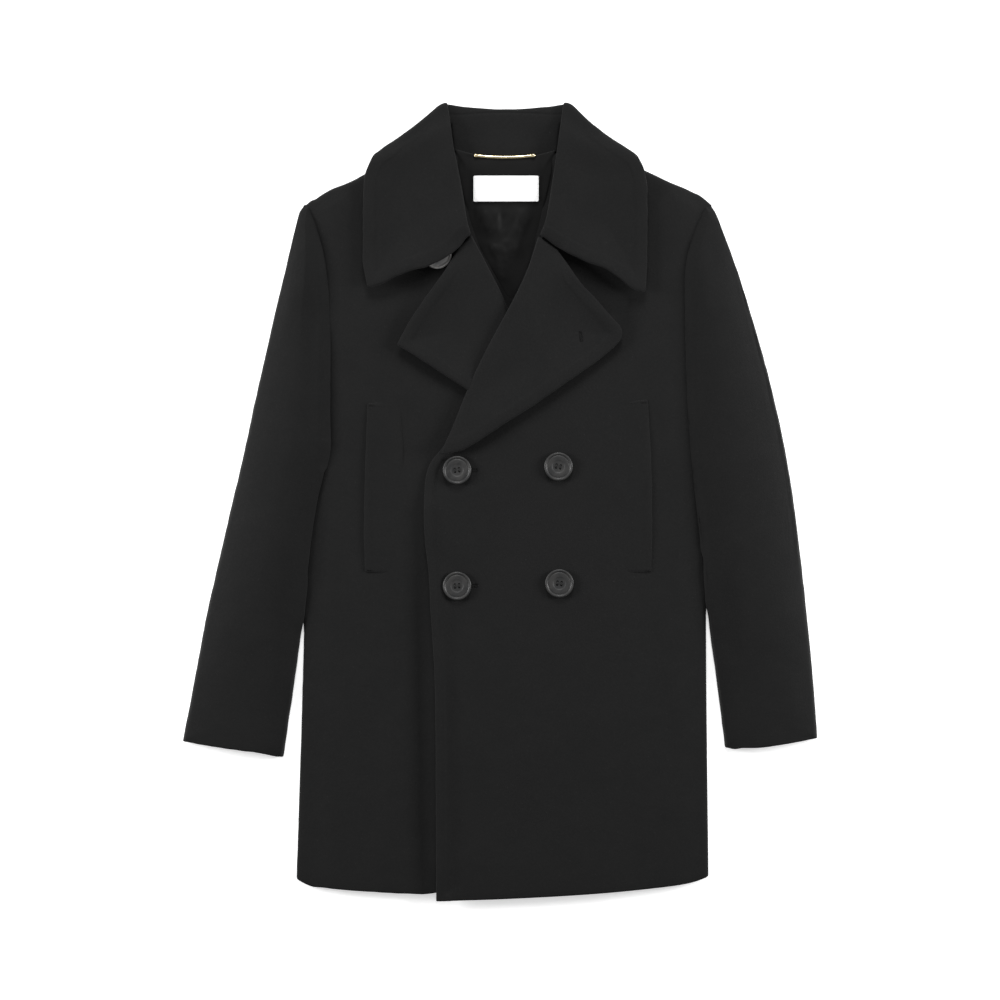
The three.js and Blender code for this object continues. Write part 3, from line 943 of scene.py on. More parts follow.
@dataclass(frozen=True)
class StitchRow:
    """A straight row of stitches.

    Attributes:
        x0: Where it starts.
        y0: Where it starts.
        x1: Where it ends.
        y1: Where it ends.
        pitch: From one stitch to the next.
        length: Length of a stitch.
        thickness: Of the thread.
        across: Whether each stitch lies across the row, as in a bar tack.
    """

    x0: float
    y0: float
    x1: float
    y1: float
    pitch: float = 0.0034
    length: float = 0.0022
    thickness: float = 0.00045
    across: bool = False

    def sew(self, shape: bmesh.types.BMesh, cloth: bpy.types.Object) -> None:
        """Adds the row to a bmesh, on a piece's upper side."""
        run = Vector((self.x1 - self.x0, self.y1 - self.y0))
        count = max(round(run.length / self.pitch), 1)
        turn = math.atan2(run.y, run.x) + (math.pi / 2 if self.across else 0.0)
        for number in range(count):
            part = (number + 0.5) / count
            x = self.x0 + run.x * part
            y = self.y0 + run.y * part
            stray = 0.12 * noise.noise(Vector((x * 900, y * 900, 2.0)))
            middle = Vector((x, y, surface_height(cloth, x, y) + 0.1 * self.thickness))
            add_stitch(shape, middle, turn + stray, self.length, self.thickness)


def sew_rows(
    name: str,
    rows: Iterable[StitchRow],
    cloth: bpy.types.Object,
    thread: bpy.types.Material,
    slot: Slot = Slot.WOOL,
) -> bpy.types.Object:
    """Joins rows of stitches on one piece into one object and hands it in."""
    shape = bmesh.new()
    for row in rows:
        row.sew(shape, cloth)
    return hand_in(mesh_object(name, shape, thread), slot)


@dataclass(frozen=True)
class Buttonhole:
    """A worked buttonhole: a slit with stitched lips and a bar tack at one end.

    Attributes:
        name: The piece's name.
        x: Where its eyelet end lies.
        y: Where its eyelet end lies.
        turn: Direction from the eyelet to the bar tack, an angle from +X.
        length: Of the slit.
        stitch: Length of a lip's stitch.
        pitch: From one stitch to the next.
        eyelet: Radius of the round end.
    """

    name: str
    x: float
    y: float
    turn: float
    length: float
    stitch: float = 0.0021
    pitch: float = 0.00062
    eyelet: float = 0.0014

    def build(self, cloth: bpy.types.Object, thread: bpy.types.Material) -> bpy.types.Object:
        """Makes the buttonhole on a piece's upper side.

        Args:
            cloth: The piece that it is worked in.
            thread: Its thread.

        Returns:
            The buttonhole.
        """
        shape = bmesh.new()
        along = Vector((math.cos(self.turn), math.sin(self.turn)))
        aside = Vector((-along.y, along.x))
        height = surface_height(cloth, self.x, self.y)
        thickness = 0.0005

        def place(run: float, out: float, lift: float) -> Vector:
            """A point so far along the slit and so far beside it, lifted off the cloth."""
            flat = Vector((self.x, self.y)) + along * run + aside * out
            return Vector((flat.x, flat.y, (surface_height(cloth, flat.x, flat.y) or height) + lift))

        for number in range(round(self.length / self.pitch)):
            run = number * self.pitch
            for side in (-1, 1):
                middle = place(run, side * (0.0004 + self.stitch / 2), 0.0001)
                add_stitch(shape, middle, self.turn + math.pi / 2, self.stitch, thickness)
        for number in range(9):
            spoke = math.pi / 2 + math.pi * (number + 0.5) / 9
            reach = self.eyelet * 0.5 + self.stitch / 2
            middle = place(math.cos(spoke) * reach, math.sin(spoke) * reach, 0.0001)
            add_stitch(shape, middle, self.turn + spoke, self.stitch, thickness)
        for number in range(5):
            middle = place(self.length + 0.0002 + number * 0.0005, 0.0, 0.0003)
            add_stitch(shape, middle, self.turn + math.pi / 2, self.stitch * 2.1, thickness * 0.9)
        return hand_in(mesh_object(self.name, shape, thread), Slot.WOOL)


@dataclass(frozen=True)
class ButtonForm:
    """A flat four-hole button: a raised rim, a groove and a dished middle.

    Attributes:
        steps: Facets round its edge.
        hole: Radius of a thread hole.
        spacing_x: Between the middles of the holes.
        spacing_y: Between the middles of the holes.
        profile: Radius and height of its outline from the middle of its back to the middle of
            its face, as fractions of its own radius and thickness.
    """

    steps: int = 72
    hole: float = 0.00125
    spacing_x: float = 0.0046
    spacing_y: float = 0.0034
    profile: tuple[tuple[float, float], ...] = (
        (0.0, 0.0), (0.80, 0.0), (0.93, 0.05), (0.995, 0.32), (1.0, 0.62), (0.975, 0.90),
        (0.92, 1.0), (0.86, 0.97), (0.815, 0.80), (0.785, 0.70), (0.755, 0.78), (0.68, 0.83),
        (0.52, 0.80), (0.455, 0.76), (0.40, 0.67), (0.33, 0.64), (0.0, 0.62),
    )

    def rounded_profile(self) -> list[tuple[float, float]]:
        """The outline with its corners cut twice, so that it runs smoothly."""
        points = list(self.profile)
        for _ in range(2):
            cut = [points[0]]
            for (r0, h0), (r1, h1) in zip(points, points[1:]):
                cut.append((0.75 * r0 + 0.25 * r1, 0.75 * h0 + 0.25 * h1))
                cut.append((0.25 * r0 + 0.75 * r1, 0.25 * h0 + 0.75 * h1))
            cut.append(points[-1])
            points = cut
        return points

    def holes(self) -> list[tuple[float, float]]:
        """The middles of the four thread holes."""
        sides = (-0.5, 0.5)
        return [(x * self.spacing_x, y * self.spacing_y) for x in sides for y in sides]

    def disc(self, radius: float, thickness: float) -> bmesh.types.BMesh:
        """The button's solid without its holes, spun from its outline."""
        shape = bmesh.new()
        chain = [shape.verts.new((r * radius, 0.0, h * thickness)) for r, h in self.rounded_profile()]
        edges = [shape.edges.new(pair) for pair in zip(chain, chain[1:])]
        bmesh.ops.spin(
            shape,
            geom=chain + edges,
            cent=(0.0, 0.0, 0.0),
            axis=(0.0, 0.0, 1.0),
            angle=math.tau,
            steps=self.steps,
            use_merge=True,
        )
        bmesh.ops.remove_doubles(shape, verts=shape.verts, dist=1e-6)
        bmesh.ops.recalc_face_normals(shape, faces=shape.faces)
        return shape

    def drills(self, depth: float) -> bmesh.types.BMesh:
        """Four round bars where the holes go, one after another."""
        shape = bmesh.new()
        for x, y in self.holes():
            bmesh.ops.create_cone(
                shape,
                cap_ends=True,
                segments=20,
                radius1=self.hole,
                radius2=self.hole,
                depth=depth,
                matrix=Matrix.Translation((x, y, 0.0)),
            )
        return shape


@dataclass
class Button:
    """One button with its thread, sewn on at its packed place.

    Attributes:
        node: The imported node.
        turn: How far its holes are turned.
        tilt: How far it leans towards the bottom of the coat.
        lift: How far it hangs off the cloth by its thread.
        form: Its shape.
    """

    node: str
    turn: float = 0.0
    tilt: float = 0.0
    lift: float = 0.0
    form: ButtonForm = ButtonForm()

    def build(
        self, resin: bpy.types.Material, body: BodyForm, thread: bpy.types.Material | None = None
    ) -> bpy.types.Object:
        """Makes the button and its thread.

        Args:
            resin: The button's material.
            body: What the button's place rises with.
            thread: The thread's material, or None where no thread shows.

        Returns:
            The button.
        """
        low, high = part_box(self.node)
        middle = (low + high) / 2
        radius = (high.x - low.x) / 2
        thickness = high.z - low.z
        button = mesh_object(self.node + "_button", self.form.disc(radius, thickness), resin)
        self.drill(button, thickness)
        rise = float(body.rise(np.array([[middle.x, middle.y]]))[0])
        seat = Matrix.Translation((middle.x, middle.y, low.z + rise + self.lift))
        lean = Matrix.Rotation(self.tilt, 4, "X") @ Matrix.Rotation(self.turn, 4, "Z")
        button.data.transform(seat @ lean)
        hand_in(button, Slot.RESIN, self.node)
        if thread:
            dish = thickness * self.form.profile[-1][1]
            place = seat @ lean @ Matrix.Translation((0, 0, dish))
            self.thread(self.node + "_thread", thread, place)
        return button

    def drill(self, button: bpy.types.Object, thickness: float) -> None:
        """Cuts the four holes and marks their rims as sharp."""
        bars = mesh_object("drills", self.form.drills(thickness * 4), button.data.materials[0])
        cut = button.modifiers.new("Holes", "BOOLEAN")
        cut.operation = "DIFFERENCE"
        cut.solver = "EXACT"
        cut.object = bars
        settle_modifiers(button)
        bpy.data.objects.remove(bars)
        shape = bmesh.new()
        shape.from_mesh(button.data)
        for edge in shape.edges:
            edge.smooth = edge.calc_face_angle(0.0) < math.radians(50)
        shape.to_mesh(button.data)
        shape.free()
        button.data.shade_smooth()

    def thread(self, name: str, material: bpy.types.Material, place: Matrix) -> bpy.types.Object:
        """Adds the strands that run between the holes, two bundles side by side."""
        shape = bmesh.new()
        strand = 0.00034
        half = self.form.spacing_y / 2
        for column in (-0.5, 0.5):
            for number in (-1, 0, 1):
                x = column * self.form.spacing_x + number * strand * 1.55
                path = [
                    Vector((x, half * math.cos(angle), 0.0008 * math.sin(angle) - 0.00025 * abs(number)))
                    for angle in np.linspace(-0.35, math.pi + 0.35, 13)
                ]
                sweep(shape, path, [strand] * len(path), 8)
        shape.transform(place)
        return hand_in(mesh_object(name, shape, material), Slot.WOOL)


@dataclass
class Body:
    """Back and fronts.

    Attributes:
        form: How the fronts stand up from flat.
        front_edge: The turned edge of the left front.
    """

    form: BodyForm = BodyForm()
    front_edge: Ridge = Ridge(
        band=0.0098, height=0.0009, wander=0.0006, shows=lambda x, y: x < -0.062 and y < 0.045
    )
    right_creases: tuple[Crease, ...] = (
        Crease(-0.089, -0.060, -0.082, -0.460, 0.015, -0.0036, 0.003),
        Crease(-0.112, -0.150, -0.108, -0.215, 0.005, -0.0009),
        Crease(-0.100, 0.110, -0.104, 0.030, 0.014, -0.0016),
        Crease(-0.128, -0.240, -0.134, -0.420, 0.014, 0.0011, 0.004),
        Crease(-0.178, -0.095, -0.150, -0.150, 0.012, 0.0009, 0.004),
        Crease(-0.120, 0.165, -0.160, 0.205, 0.015, 0.0010, -0.003),
    )
    left_creases: tuple[Crease, ...] = (
        Crease(-0.0680, -0.060, -0.0620, -0.460, 0.0065, 0.0024, 0.001),
        Crease(-0.078, 0.028, -0.074, -0.060, 0.006, 0.0010),
        Crease(0.100, -0.200, 0.112, -0.330, 0.016, 0.0006, 0.003),
        Crease(0.186, -0.120, 0.196, -0.240, 0.011, 0.0009, -0.004),
        Crease(0.172, 0.120, 0.188, 0.020, 0.010, 0.0010, 0.003),
    )

    def on_front_edge(self, x: float, y: float) -> bool:
        """Whether a point of the left front's outline is on its front edge."""
        return x < -0.062 and y < -0.010

    def build(self, finishes: Finishes) -> dict[str, bpy.types.Object]:
        """Makes the three panels.

        Args:
            finishes: The coat's materials.

        Returns:
            Each piece by its node's name.
        """
        wool = finishes.wool
        pieces = (
            ClothPiece("back", wool, (0.46, 0.80), 0.338, levels=2),
            ClothPiece(
                "right_front", wool, (0.32, 0.80), 0.210, form=self.form,
                creases=self.right_creases, rests_on=("back",),
                pushes=(
                    Push(-0.0044, 0.0, lambda x, y: x < -0.18 and y > 0.040, 0.016, -0.0030),
                    Push(-0.0022, 0.0, lambda x, y: x < -0.20 and -0.128 < y < -0.095, 0.022),
                    Push(-0.0010, 0.0016, lambda x, y: x < -0.203 and y > 0.312, 0.008),
                    Push(-0.0004, -0.0014, lambda x, y: x < -0.210 and y < -0.410, 0.020),
                    Push(0.0, 0.004, lambda x, y: y < -0.40 and x > -0.06, 0.03),
                ),
            ),
            ClothPiece(
                "left_front", wool, (0.32, 0.82), 0.215, form=self.form, creases=self.left_creases,
                ridge=self.front_edge, rests_on=("right_front",), free_lift=0.0034, free_reach=0.026,
                folds=self.on_front_edge,
                pushes=(
                    Push(0.0022, 0.0, lambda x, y: x > 0.20 and y > -0.05, 0.016, -0.0030),
                    Push(0.0016, 0.0, lambda x, y: x > 0.20 and -0.112 < y < -0.085, 0.020),
                    Push(0.0012, 0.0004, lambda x, y: x > 0.216 and y > 0.318, 0.008),
                ),
            ),
        )
        return {piece.node: piece.build() for piece in pieces}


@dataclass
class Collar:
    """Fall, stand, leaves and lapels.

    Attributes:
        form: How the fronts below them stand up.
        turning: The band along the edges of the leaves and lapels. Not used.
        stand_seam: Y of the seam across the stand.
    """

    form: BodyForm
    turning: Ridge = Ridge(band=0.0135, height=0.0006, wander=0.0014)
    stand_seam: float = 0.4165

    def leaf_edge(self, x: float, y: float) -> bool:
        """Whether a point of a leaf's outline is on its free edge, not on its roll."""
        return abs(x - 0.006) > 0.100 or y < 0.286

    def lapel_edge(self, x: float, y: float) -> bool:
        """Whether a point of the left lapel's outline is on its free edge."""
        return y < 0.055 + (x + 0.066) * 0.86 or x > 0.082

    def right_lapel_edge(self, x: float, y: float) -> bool:
        """Whether a point of the right lapel's outline is on its free edge."""
        return x < -0.060 or y < 0.150 and x < -0.020

    def build(self, finishes: Finishes) -> dict[str, bpy.types.Object]:
        """Makes the collar and the lapels.

        Args:
            finishes: The coat's materials.

        Returns:
            Each piece by its node's name.
        """
        wool = finishes.wool
        level = self.form.above_gorges()
        left_up = (
            Crease(0.068, 0.276, 0.160, 0.222, 0.016, 0.0026),
            Crease(0.036, 0.294, 0.067, 0.270, 0.010, -0.0034),
            Crease(0.046, 0.300, 0.066, 0.400, 0.009, 0.0018, -0.003),
            *level,
        )
        right_up = (
            Crease(-0.074, 0.272, -0.150, 0.226, 0.016, 0.0028),
            Crease(-0.026, 0.296, -0.058, 0.272, 0.010, -0.0034),
            Crease(-0.036, 0.302, -0.056, 0.400, 0.009, 0.0018, 0.003),
            *level,
        )
        lapel_up = (
            Crease(0.058, 0.262, 0.134, 0.186, 0.016, 0.0030),
            Crease(-0.045, 0.062, 0.092, 0.158, 0.018, 0.0010),
            *level,
        )
        small_up = (
            Crease(-0.050, 0.262, -0.116, 0.172, 0.014, 0.0026),
            Crease(-0.112, 0.170, -0.030, 0.118, 0.016, 0.0020),
            *level,
        )
        free = {"free_lift": 0.0045, "free_reach": 0.05}
        leaf = {"form": self.form, "folds": self.leaf_edge, "waver": 0.0007, **free}
        edged = {"ridge": Ridge(0.0135, 0.0006, wander=0.0014, shows=self.leaf_edge)}
        seam = (
            Crease(-0.062, self.stand_seam + 0.0045, 0.074, self.stand_seam + 0.0045, 0.0011, -0.0011, 0.0045),
            Crease(-0.040, 0.402, 0.050, 0.400, 0.012, -0.0010, 0.003),
        )
        pieces = (
            ClothPiece("collar_fall", wool, (0.34, 0.08), 0.0195, levels=2),
            ClothPiece(
                "collar_stand", wool, (0.13, 0.06), 0.0066, levels=4, creases=seam,
                pushes=(
                    Push(-0.005, 0.0016, lambda x, y: x < -0.052 and y > 0.42),
                    Push(0.005, 0.0016, lambda x, y: x > 0.064 and y > 0.42),
                    Push(0.0, -0.004, lambda x, y: y < 0.392, 0.012, -0.0006),
                ),
            ),
            ClothPiece(
                "collar_leaf_right", wool, (0.12, 0.21), 0.0170, creases=right_up, **leaf, **edged,
                pushes=(Push(0.0, -0.0020, lambda x, y: -0.082 < x < -0.044 and y < 0.290, 0.018),),
            ),
            ClothPiece("collar_leaf_left", wool, (0.12, 0.21), 0.0166, creases=left_up, **leaf, **edged),
            ClothPiece(
                "right_lapel", wool, (0.11, 0.20), 0.0128, form=self.form, folds=self.right_lapel_edge,
                free_lift=0.0042, waver=0.0006, creases=small_up,
                ridge=Ridge(0.012, 0.0006, wander=0.0014, shows=self.right_lapel_edge),
            ),
            ClothPiece(
                "left_lapel", wool, (0.17, 0.25), 0.0201, form=self.form, folds=self.lapel_edge,
                free_lift=0.0042, waver=0.0007, creases=lapel_up,
                ridge=Ridge(0.013, 0.0006, wander=0.0014, shows=self.lapel_edge),
            ),
        )
        return {piece.node: piece.build() for piece in pieces}


@dataclass
class Sleeves:
    """The two-piece sleeves.

    Attributes:
        form: How the fronts below them stand up.
        puff: How far a top sleeve's middle stands off the under sleeve.
        cuff: Y below which an outline point is on the cuff.
    """

    form: BodyForm
    puff: float = 0.0155
    cuff: float = -0.256
    right_creases: tuple[Crease, ...] = (
        Crease(-0.218, 0.300, -0.236, 0.190, 0.012, 0.0016, 0.004),
        Crease(-0.205, 0.250, -0.203, 0.120, 0.010, -0.0014, -0.003),
        Crease(-0.262, 0.090, -0.222, 0.040, 0.014, 0.0011, 0.005),
        Crease(-0.282, -0.020, -0.226, -0.050, 0.016, 0.0009, 0.006),
        Crease(-0.240, -0.090, -0.226, -0.190, 0.011, -0.0013, 0.003),
        Crease(-0.300, -0.120, -0.262, -0.160, 0.018, 0.0008, -0.004),
        Crease(-0.246, -0.200, -0.238, -0.262, 0.010, -0.0011, 0.002),
    )
    left_creases: tuple[Crease, ...] = (
        Crease(0.222, 0.300, 0.226, 0.200, 0.010, 0.0013, -0.003),
        Crease(0.252, 0.230, 0.262, 0.130, 0.014, 0.0010, 0.004),
        Crease(0.292, 0.060, 0.240, 0.020, 0.016, 0.0009, -0.005),
        Crease(0.300, -0.030, 0.246, -0.060, 0.015, 0.0010, -0.005),
        Crease(0.244, -0.080, 0.258, -0.180, 0.011, -0.0011, -0.003),
        Crease(0.324, -0.110, 0.276, -0.160, 0.018, 0.0008, 0.004),
        Crease(0.316, -0.190, 0.322, -0.250, 0.012, 0.0007, 0.002),
    )

    def right_fold(self, x: float, y: float) -> bool:
        """Whether a point of the right top sleeve's outline is on its outer fold."""
        return x < -0.343 or y > self.cuff and x < -0.262 + 0.092 * (y - self.cuff) / 0.57

    def right_seam(self, x: float, y: float) -> bool:
        """Whether a point of the right top sleeve's outline is on its inner edge."""
        return x > -0.243 and not self.right_fold(x, y)

    def left_fold(self, x: float, y: float) -> bool:
        """Whether a point of the left top sleeve's outline is on its outer fold."""
        return x > 0.343 or y > self.cuff and x > 0.300 - 0.066 * (y - self.cuff) / 0.57

    def left_seam(self, x: float, y: float) -> bool:
        """Whether a point of the left top sleeve's outline is on its inner edge."""
        return x < 0.252 and not self.left_fold(x, y)

    def share(self, places: FloatArray) -> FloatArray:
        """Share of the puff that is left at each place: less towards the cuffs and the crown."""
        to_cuff = 0.42 + 0.58 * smooth(places[:, 1], self.cuff - 0.01, self.cuff + 0.2)
        to_crown = 0.75 + 0.25 * smooth(places[:, 1], 0.33, 0.22)
        return to_cuff * to_crown * (1.0 + 0.08 * unevenness(places, 14.0, 41.0))

    def right_armhole(self, x: float, y: float) -> bool:
        """Whether a point of the right top sleeve's outline is on the armhole seam."""
        return y > 0.040 and x > -0.213

    def left_armhole(self, x: float, y: float) -> bool:
        """Whether a point of the left top sleeve's outline is on the armhole seam."""
        return y > -0.050 and x < 0.232

    def build(self, finishes: Finishes) -> dict[str, bpy.types.Object]:
        """Makes the four sleeve pieces.

        Args:
            finishes: The coat's materials.

        Returns:
            Each piece by its node's name.
        """
        wool = finishes.wool
        rounds = {"fold_reach": 0.052, "seam_reach": 0.050, "share": self.share}
        right = Puff(self.puff, self.right_fold, seam=self.right_seam, **rounds)
        left = Puff(self.puff, self.left_fold, seam=self.left_seam, **rounds)
        pieces = (
            ClothPiece("right_under_sleeve", wool, (0.115, 0.60), 0.0465, levels=2),
            ClothPiece("left_under_sleeve", wool, (0.115, 0.60), 0.0466, levels=2),
            ClothPiece(
                "right_top_sleeve", wool, (0.125, 0.62), 0.0565, creases=self.right_creases,
                rests_on=("right_under_sleeve",), form=self.form, puff=right,
                pushes=(
                    Push(0.0030, 0.0, self.right_armhole, 0.012, -0.0050),
                    Push(0.0018, 0.0, lambda x, y: x > -0.235 and -0.128 < y < -0.095, 0.022),
                    Push(0.0, 0.0026, lambda x, y: y > 0.314, 0.012, -0.0020),
                    Push(0.0, -0.0024, lambda x, y: y < -0.262 and x > -0.243, 0.030),
                ),
            ),
            ClothPiece(
                "left_top_sleeve", wool, (0.125, 0.62), 0.0597, creases=self.left_creases,
                rests_on=("left_under_sleeve",), form=self.form, puff=left,
                pushes=(
                    Push(-0.0026, 0.0, self.left_armhole, 0.012, -0.0050),
                    Push(-0.0014, 0.0, lambda x, y: x < 0.235 and -0.112 < y < -0.085, 0.020),
                    Push(-0.0012, 0.0020, lambda x, y: y > 0.314, 0.012, -0.0020),
                    Push(0.0, -0.0028, lambda x, y: y < -0.262 and x < 0.256, 0.012),
                ),
            ),
        )
        return {piece.node: piece.build() for piece in pieces}


@dataclass
class Pockets:
    """Upright welts of the hand pockets, with their stitches.

    Attributes:
        form: How the fronts below them stand up.
        seam: Distance of the stitches from a welt's edge.
    """

    form: BodyForm
    seam: float = 0.0022

    def sink(self, places: FloatArray) -> FloatArray:
        """How far a welt is pressed into the front: further towards the middle of the coat."""
        inward = smooth(np.abs(places[:, 0] - self.form.middle), 0.152, 0.120)
        return -0.0004 - 0.0021 * inward - 0.0006 * (places[:, 0] > 0.0)

    def build(self, finishes: Finishes) -> dict[str, bpy.types.Object]:
        """Makes the welts and sews them on.

        Args:
            finishes: The coat's materials.

        Returns:
            Each piece by its node's name.
        """
        welt = {"form": self.form, "waver": 0.0005, "extra": self.sink}
        pieces = (
            ClothPiece(
                "right_pocket_welt", finishes.wool, (0.046, 0.19), 0.0079,
                creases=(Crease(-0.146, 0.100, -0.146, -0.078, 0.006, 0.0012),),
                rests_on=("right_front",), **welt,
            ),
            ClothPiece(
                "left_pocket_welt", finishes.wool, (0.043, 0.19), 0.0075,
                creases=(Crease(0.162, 0.104, 0.164, -0.076, 0.006, 0.0011),),
                rests_on=("left_front",), **welt,
            ),
        )
        built = {piece.node: piece.build() for piece in pieces}
        self.sew(built, finishes.thread)
        return built

    def sew(self, built: dict[str, bpy.types.Object], thread: bpy.types.Material) -> None:
        """Sews the short ends of both welts and the inner side of the left one, with a bar tack at each outer
        corner.
        """
        ins = self.seam
        right = (
            StitchRow(-0.143, 0.1055 - ins, -0.111, 0.1045 - ins),
            StitchRow(-0.146, -0.0790 + ins, -0.108, -0.0815 + ins),
            StitchRow(-0.1435, 0.1035, -0.1385, 0.1035, 0.0006, 0.0018, 0.0007, True),
            StitchRow(-0.1460, -0.0768, -0.1410, -0.0768, 0.0006, 0.0018, 0.0007, True),
        )
        left = (
            StitchRow(0.1255, 0.1060 - ins, 0.160, 0.1095 - ins),
            StitchRow(0.132, -0.0800 + ins, 0.164, -0.0796 + ins),
            StitchRow(0.1262, 0.100, 0.1308, -0.030, 0.0052, 0.0020, 0.0004),
            StitchRow(0.1310, -0.032, 0.1322, -0.074, 0.0052, 0.0020, 0.0004),
            StitchRow(0.1555, 0.1065, 0.1605, 0.1070, 0.0006, 0.0018, 0.0007, True),
            StitchRow(0.1600, -0.0774, 0.1650, -0.0774, 0.0006, 0.0018, 0.0007, True),
        )
        sew_rows("right_welt_stitches", right, built["right_pocket_welt"], thread)
        sew_rows("left_welt_stitches", left, built["left_pocket_welt"], thread)


@dataclass
class Neck:
    """What the neck opening shows: satin lining, label and hanger bar.

    Attributes:
        wrinkles: The lining's soft folds.
        bar_drop: How far the bar hangs below its packed place.
        bar_sag: How far the bar's middle hangs below its ends.
        bar_ends: Radius of the bar's rounded ends, against its middle's. Not used.
    """

    wrinkles: tuple[Crease, ...] = (
        Crease(-0.034, 0.364, 0.044, 0.365, 0.009, 0.0014, 0.004),
        Crease(-0.010, 0.322, -0.014, 0.296, 0.007, 0.0014, 0.004),
        Crease(0.004, 0.324, 0.003, 0.304, 0.005, -0.0009),
        Crease(0.028, 0.322, 0.015, 0.262, 0.007, 0.0016, -0.004),
        Crease(-0.022, 0.298, 0.004, 0.282, 0.006, 0.0012, 0.006),
        Crease(-0.010, 0.278, 0.008, 0.264, 0.005, 0.0014, 0.004),
        Crease(-0.004, 0.262, 0.006, 0.240, 0.004, 0.0010, -0.002),
        Crease(0.018, 0.320, 0.013, 0.290, 0.004, -0.0008),
    )
    bar_drop: float = 0.0018
    bar_sag: float = 0.0022
    bar_ends: float = 1.35

    def build(self, finishes: Finishes) -> None:
        """Makes the lining, the label with its stitches and the bar."""
        lining = ClothPiece(
            "neck_lining", finishes.satin, (0.12, 0.16), 0.0102, Slot.SATIN, creases=self.wrinkles,
            waver=0.0, extra=self.sag,
            pushes=(Push(0.0, 0.0065, lambda x, y: y > 0.366, 0.012, -0.0012),),
        ).build()
        label = ClothPiece(
            "neck_label", finishes.tape, (0.076, 0.030), 0.0020, Slot.TAPE, waver=0.00015,
            pushes=(Push(0.0, -0.0012, lambda x, y: True, 0.050, 0.0012),),
            ridge=Ridge(0.0030, -0.00030, 0.0008, shows=lambda x, y: x < -0.0285 or x > 0.0417),
            rests_on=("neck_lining",),
        ).build()
        low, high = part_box("neck_label")
        inset = 0.0016
        ends = [
            StitchRow(x, low.y + inset, x, high.y - inset, 0.0021, 0.0015, 0.00045)
            for x in (low.x + inset, high.x - inset)
        ]
        sew_rows("label_stitches", ends, label, finishes.label_thread, Slot.TAPE)
        self.bar(finishes.gilt)
        log.info("neck: lining %s", lining.name)

    def sag(self, places: FloatArray) -> FloatArray:
        """Fine wrinkles of the lining below the label, where it also falls away to its sides."""
        below = smooth(places[:, 1], 0.332, 0.318)
        half = 0.052 * np.clip((places[:, 1] - 0.215) / 0.115, 0.0, 1.0)
        to_side = smooth(np.abs(places[:, 0] - 0.002) - half, -0.030, 0.004)
        fine = 0.0022 * unevenness(places, 60.0, 51.0) + 0.0009 * unevenness(places, 150.0, 52.0)
        middle = 0.0008 + fine * (1.0 - 0.4 * to_side)
        bottom = 0.0016 * smooth(places[:, 1], 0.268, 0.236)
        room = 0.0013 + 0.0006 * smooth(places[:, 1], 0.302, 0.262)
        height = middle - 0.0036 * to_side - bottom
        sunk = room * (1.0 - np.exp(np.minimum(height, 0.0) / room))
        return below * np.where(height > 0.0, height, -sunk)

    def bar(self, gilt: bpy.types.Material) -> bpy.types.Object:
        """Makes the hanger bar, a round rod that sags a little and thickens to rounded ends."""
        low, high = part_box("hanger_bar")
        radius = (high.z - low.z) / 2
        middle = (low + high) / 2
        half = (high.x - low.x) / 2
        path = []
        radii = []
        for part in np.linspace(-1.0, 1.0, 49):
            sag = self.bar_sag * (1.0 - part * part)
            path.append(Vector((middle.x + half * part, high.y - radius - self.bar_drop - sag, middle.z)))
            swell = 0.82 + 0.28 * float(smooth(np.array(abs(part)), 0.86, 0.93))
            inward = min((1.0 - abs(part)) * half / radius, 1.0)
            radii.append(max(radius * swell * math.sqrt(1.0 - (1.0 - inward) ** 2), radius * 0.05))
        shape = bmesh.new()
        sweep(shape, path, radii, 20)
        return hand_in(mesh_object("hanger_bar_rod", shape, gilt), Slot.GILT, "hanger_bar")


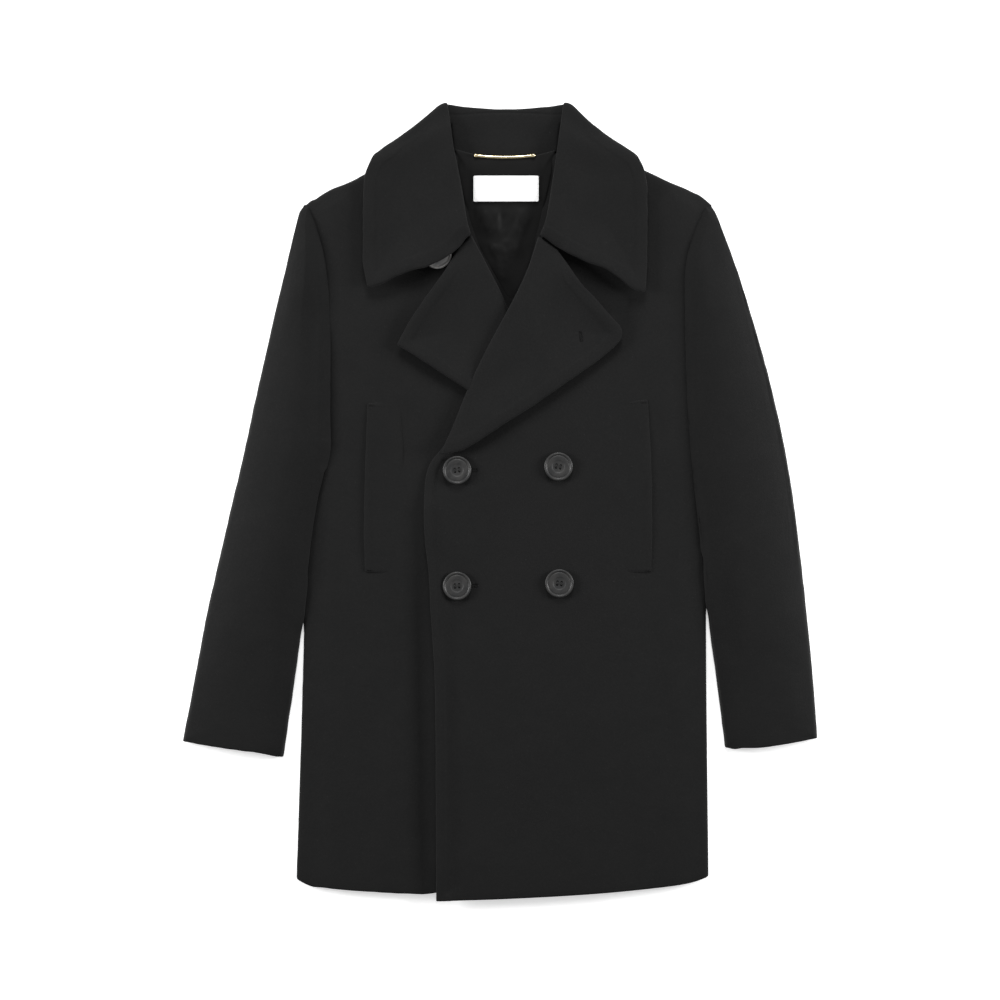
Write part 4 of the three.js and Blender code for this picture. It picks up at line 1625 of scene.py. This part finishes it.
@dataclass
class Studio:
    """Camera, light and floor.

    Attributes:
        height: Of the camera above the surface.
        sensor: Width of its sensor in millimetres.
        floor_drop: How far the floor lies below the coat's underside.
        floor_side: Length of the floor's sides.
        ambient: Strength of the white light from all round.
        glow: Light that the floor gives of itself, which keeps its shadows pale.
        lamps: Name, place, length of the sides and power of each lamp.
    """

    height: float = 3.2
    sensor: float = 36.0
    floor_drop: float = 0.0006
    floor_side: float = 6.0
    ambient: float = 0.36
    glow: float = 0.44
    lamps: tuple[tuple[str, tuple[float, float, float], float, float], ...] = (
        ("top_light", (0.0, 3.1, 1.9), 1.2, 87.0),
        ("left_light", (-1.6, 0.25, 0.70), 0.6, 28.0),
        ("right_light", (1.6, 0.25, 0.70), 0.6, 28.0),
    )

    def camera(self) -> bpy.types.Object:
        """Adds the camera, which looks straight down so that the photograph's frame fits."""
        data = bpy.data.cameras.new("camera")
        data.sensor_width = self.sensor
        data.lens = self.sensor * self.height / PHOTO_WIDTH
        camera = bpy.data.objects.new("camera", data)
        camera.location = (0.0, 0.0, self.height)
        bpy.context.scene.collection.objects.link(camera)
        bpy.context.scene.camera = camera
        return camera

    def lamp(self, name: str, place: Vector, target: Vector, side: float, power: float) -> None:
        """Adds a square soft light that faces a point."""
        data = bpy.data.lights.new(name, "AREA")
        data.size = side
        data.energy = power
        lamp = bpy.data.objects.new(name, data)
        lamp.location = place
        lamp.rotation_euler = (target - place).to_track_quat("-Z", "Y").to_euler()
        bpy.context.scene.collection.objects.link(lamp)

    def floor(self) -> None:
        """Adds the plain white floor."""
        constants = {
            "Base Color": grey(0.96),
            "Roughness": 0.9,
            "Specular IOR Level": 0.0,
            "Emission Color": grey(1.0),
            "Emission Strength": self.glow,
        }
        graph = Graph("floor_white", constants)
        shape = bmesh.new()
        bmesh.ops.create_grid(
            shape,
            x_segments=2,
            y_segments=2,
            size=self.floor_side / 2,
            matrix=Matrix.Translation((0.0, 0.0, -self.floor_drop)),
        )
        mesh_object("floor", shape, graph.material)

    def build(self) -> None:
        """Adds everything that isn't part of the coat."""
        self.camera()
        self.floor()
        centre = Vector((0.0, 0.0, 0.0))
        for name, place, side, power in self.lamps:
            self.lamp(name, Vector(place), centre, side, power)
        world = bpy.data.worlds.new("studio")
        world.use_nodes = True
        backdrop = world.node_tree.nodes["Background"]
        backdrop.inputs["Color"].default_value = grey(1.0)
        backdrop.inputs["Strength"].default_value = self.ambient
        scene = bpy.context.scene
        scene.world = world
        scene.view_settings.view_transform = "Standard"
        scene.view_settings.look = "None"


def main() -> None:
    """Builds the coat and its studio."""
    logging.basicConfig(level=logging.INFO, format="%(name)s: %(message)s")
    Studio().build()
    finishes = Finishes()
    body = Body()
    panels = body.build(finishes)
    collar = Collar(body.form).build(finishes)
    Sleeves(body.form).build(finishes)
    Pockets(body.form).build(finishes)
    Neck().build(finishes)
    for number in range(1, 5):
        name = f"button_{number}"
        turn = math.radians((8, -12, 4, -6)[number - 1])
        Button(name, turn).build(finishes.resin, body.form, finishes.button_thread)
    inner = Button("collar_button", math.radians(25), math.radians(-6), 0.0022)
    # The collar button's paler resin is painted light, not a different material from the other buttons.
    inner.build(finishes.painted_light_resin, body.form)
    Buttonhole("lapel_buttonhole", 0.0890, 0.1750, math.radians(96), 0.0075, 0.0015).build(
        collar["left_lapel"], finishes.thread
    )
    for number, y in ((1, 0.0330), (3, -0.0935)):
        Buttonhole(f"front_buttonhole_{number}", -0.0262, y, math.radians(180), 0.030).build(
            panels["left_front"], finishes.thread
        )


if __name__ == "__main__":
    main()
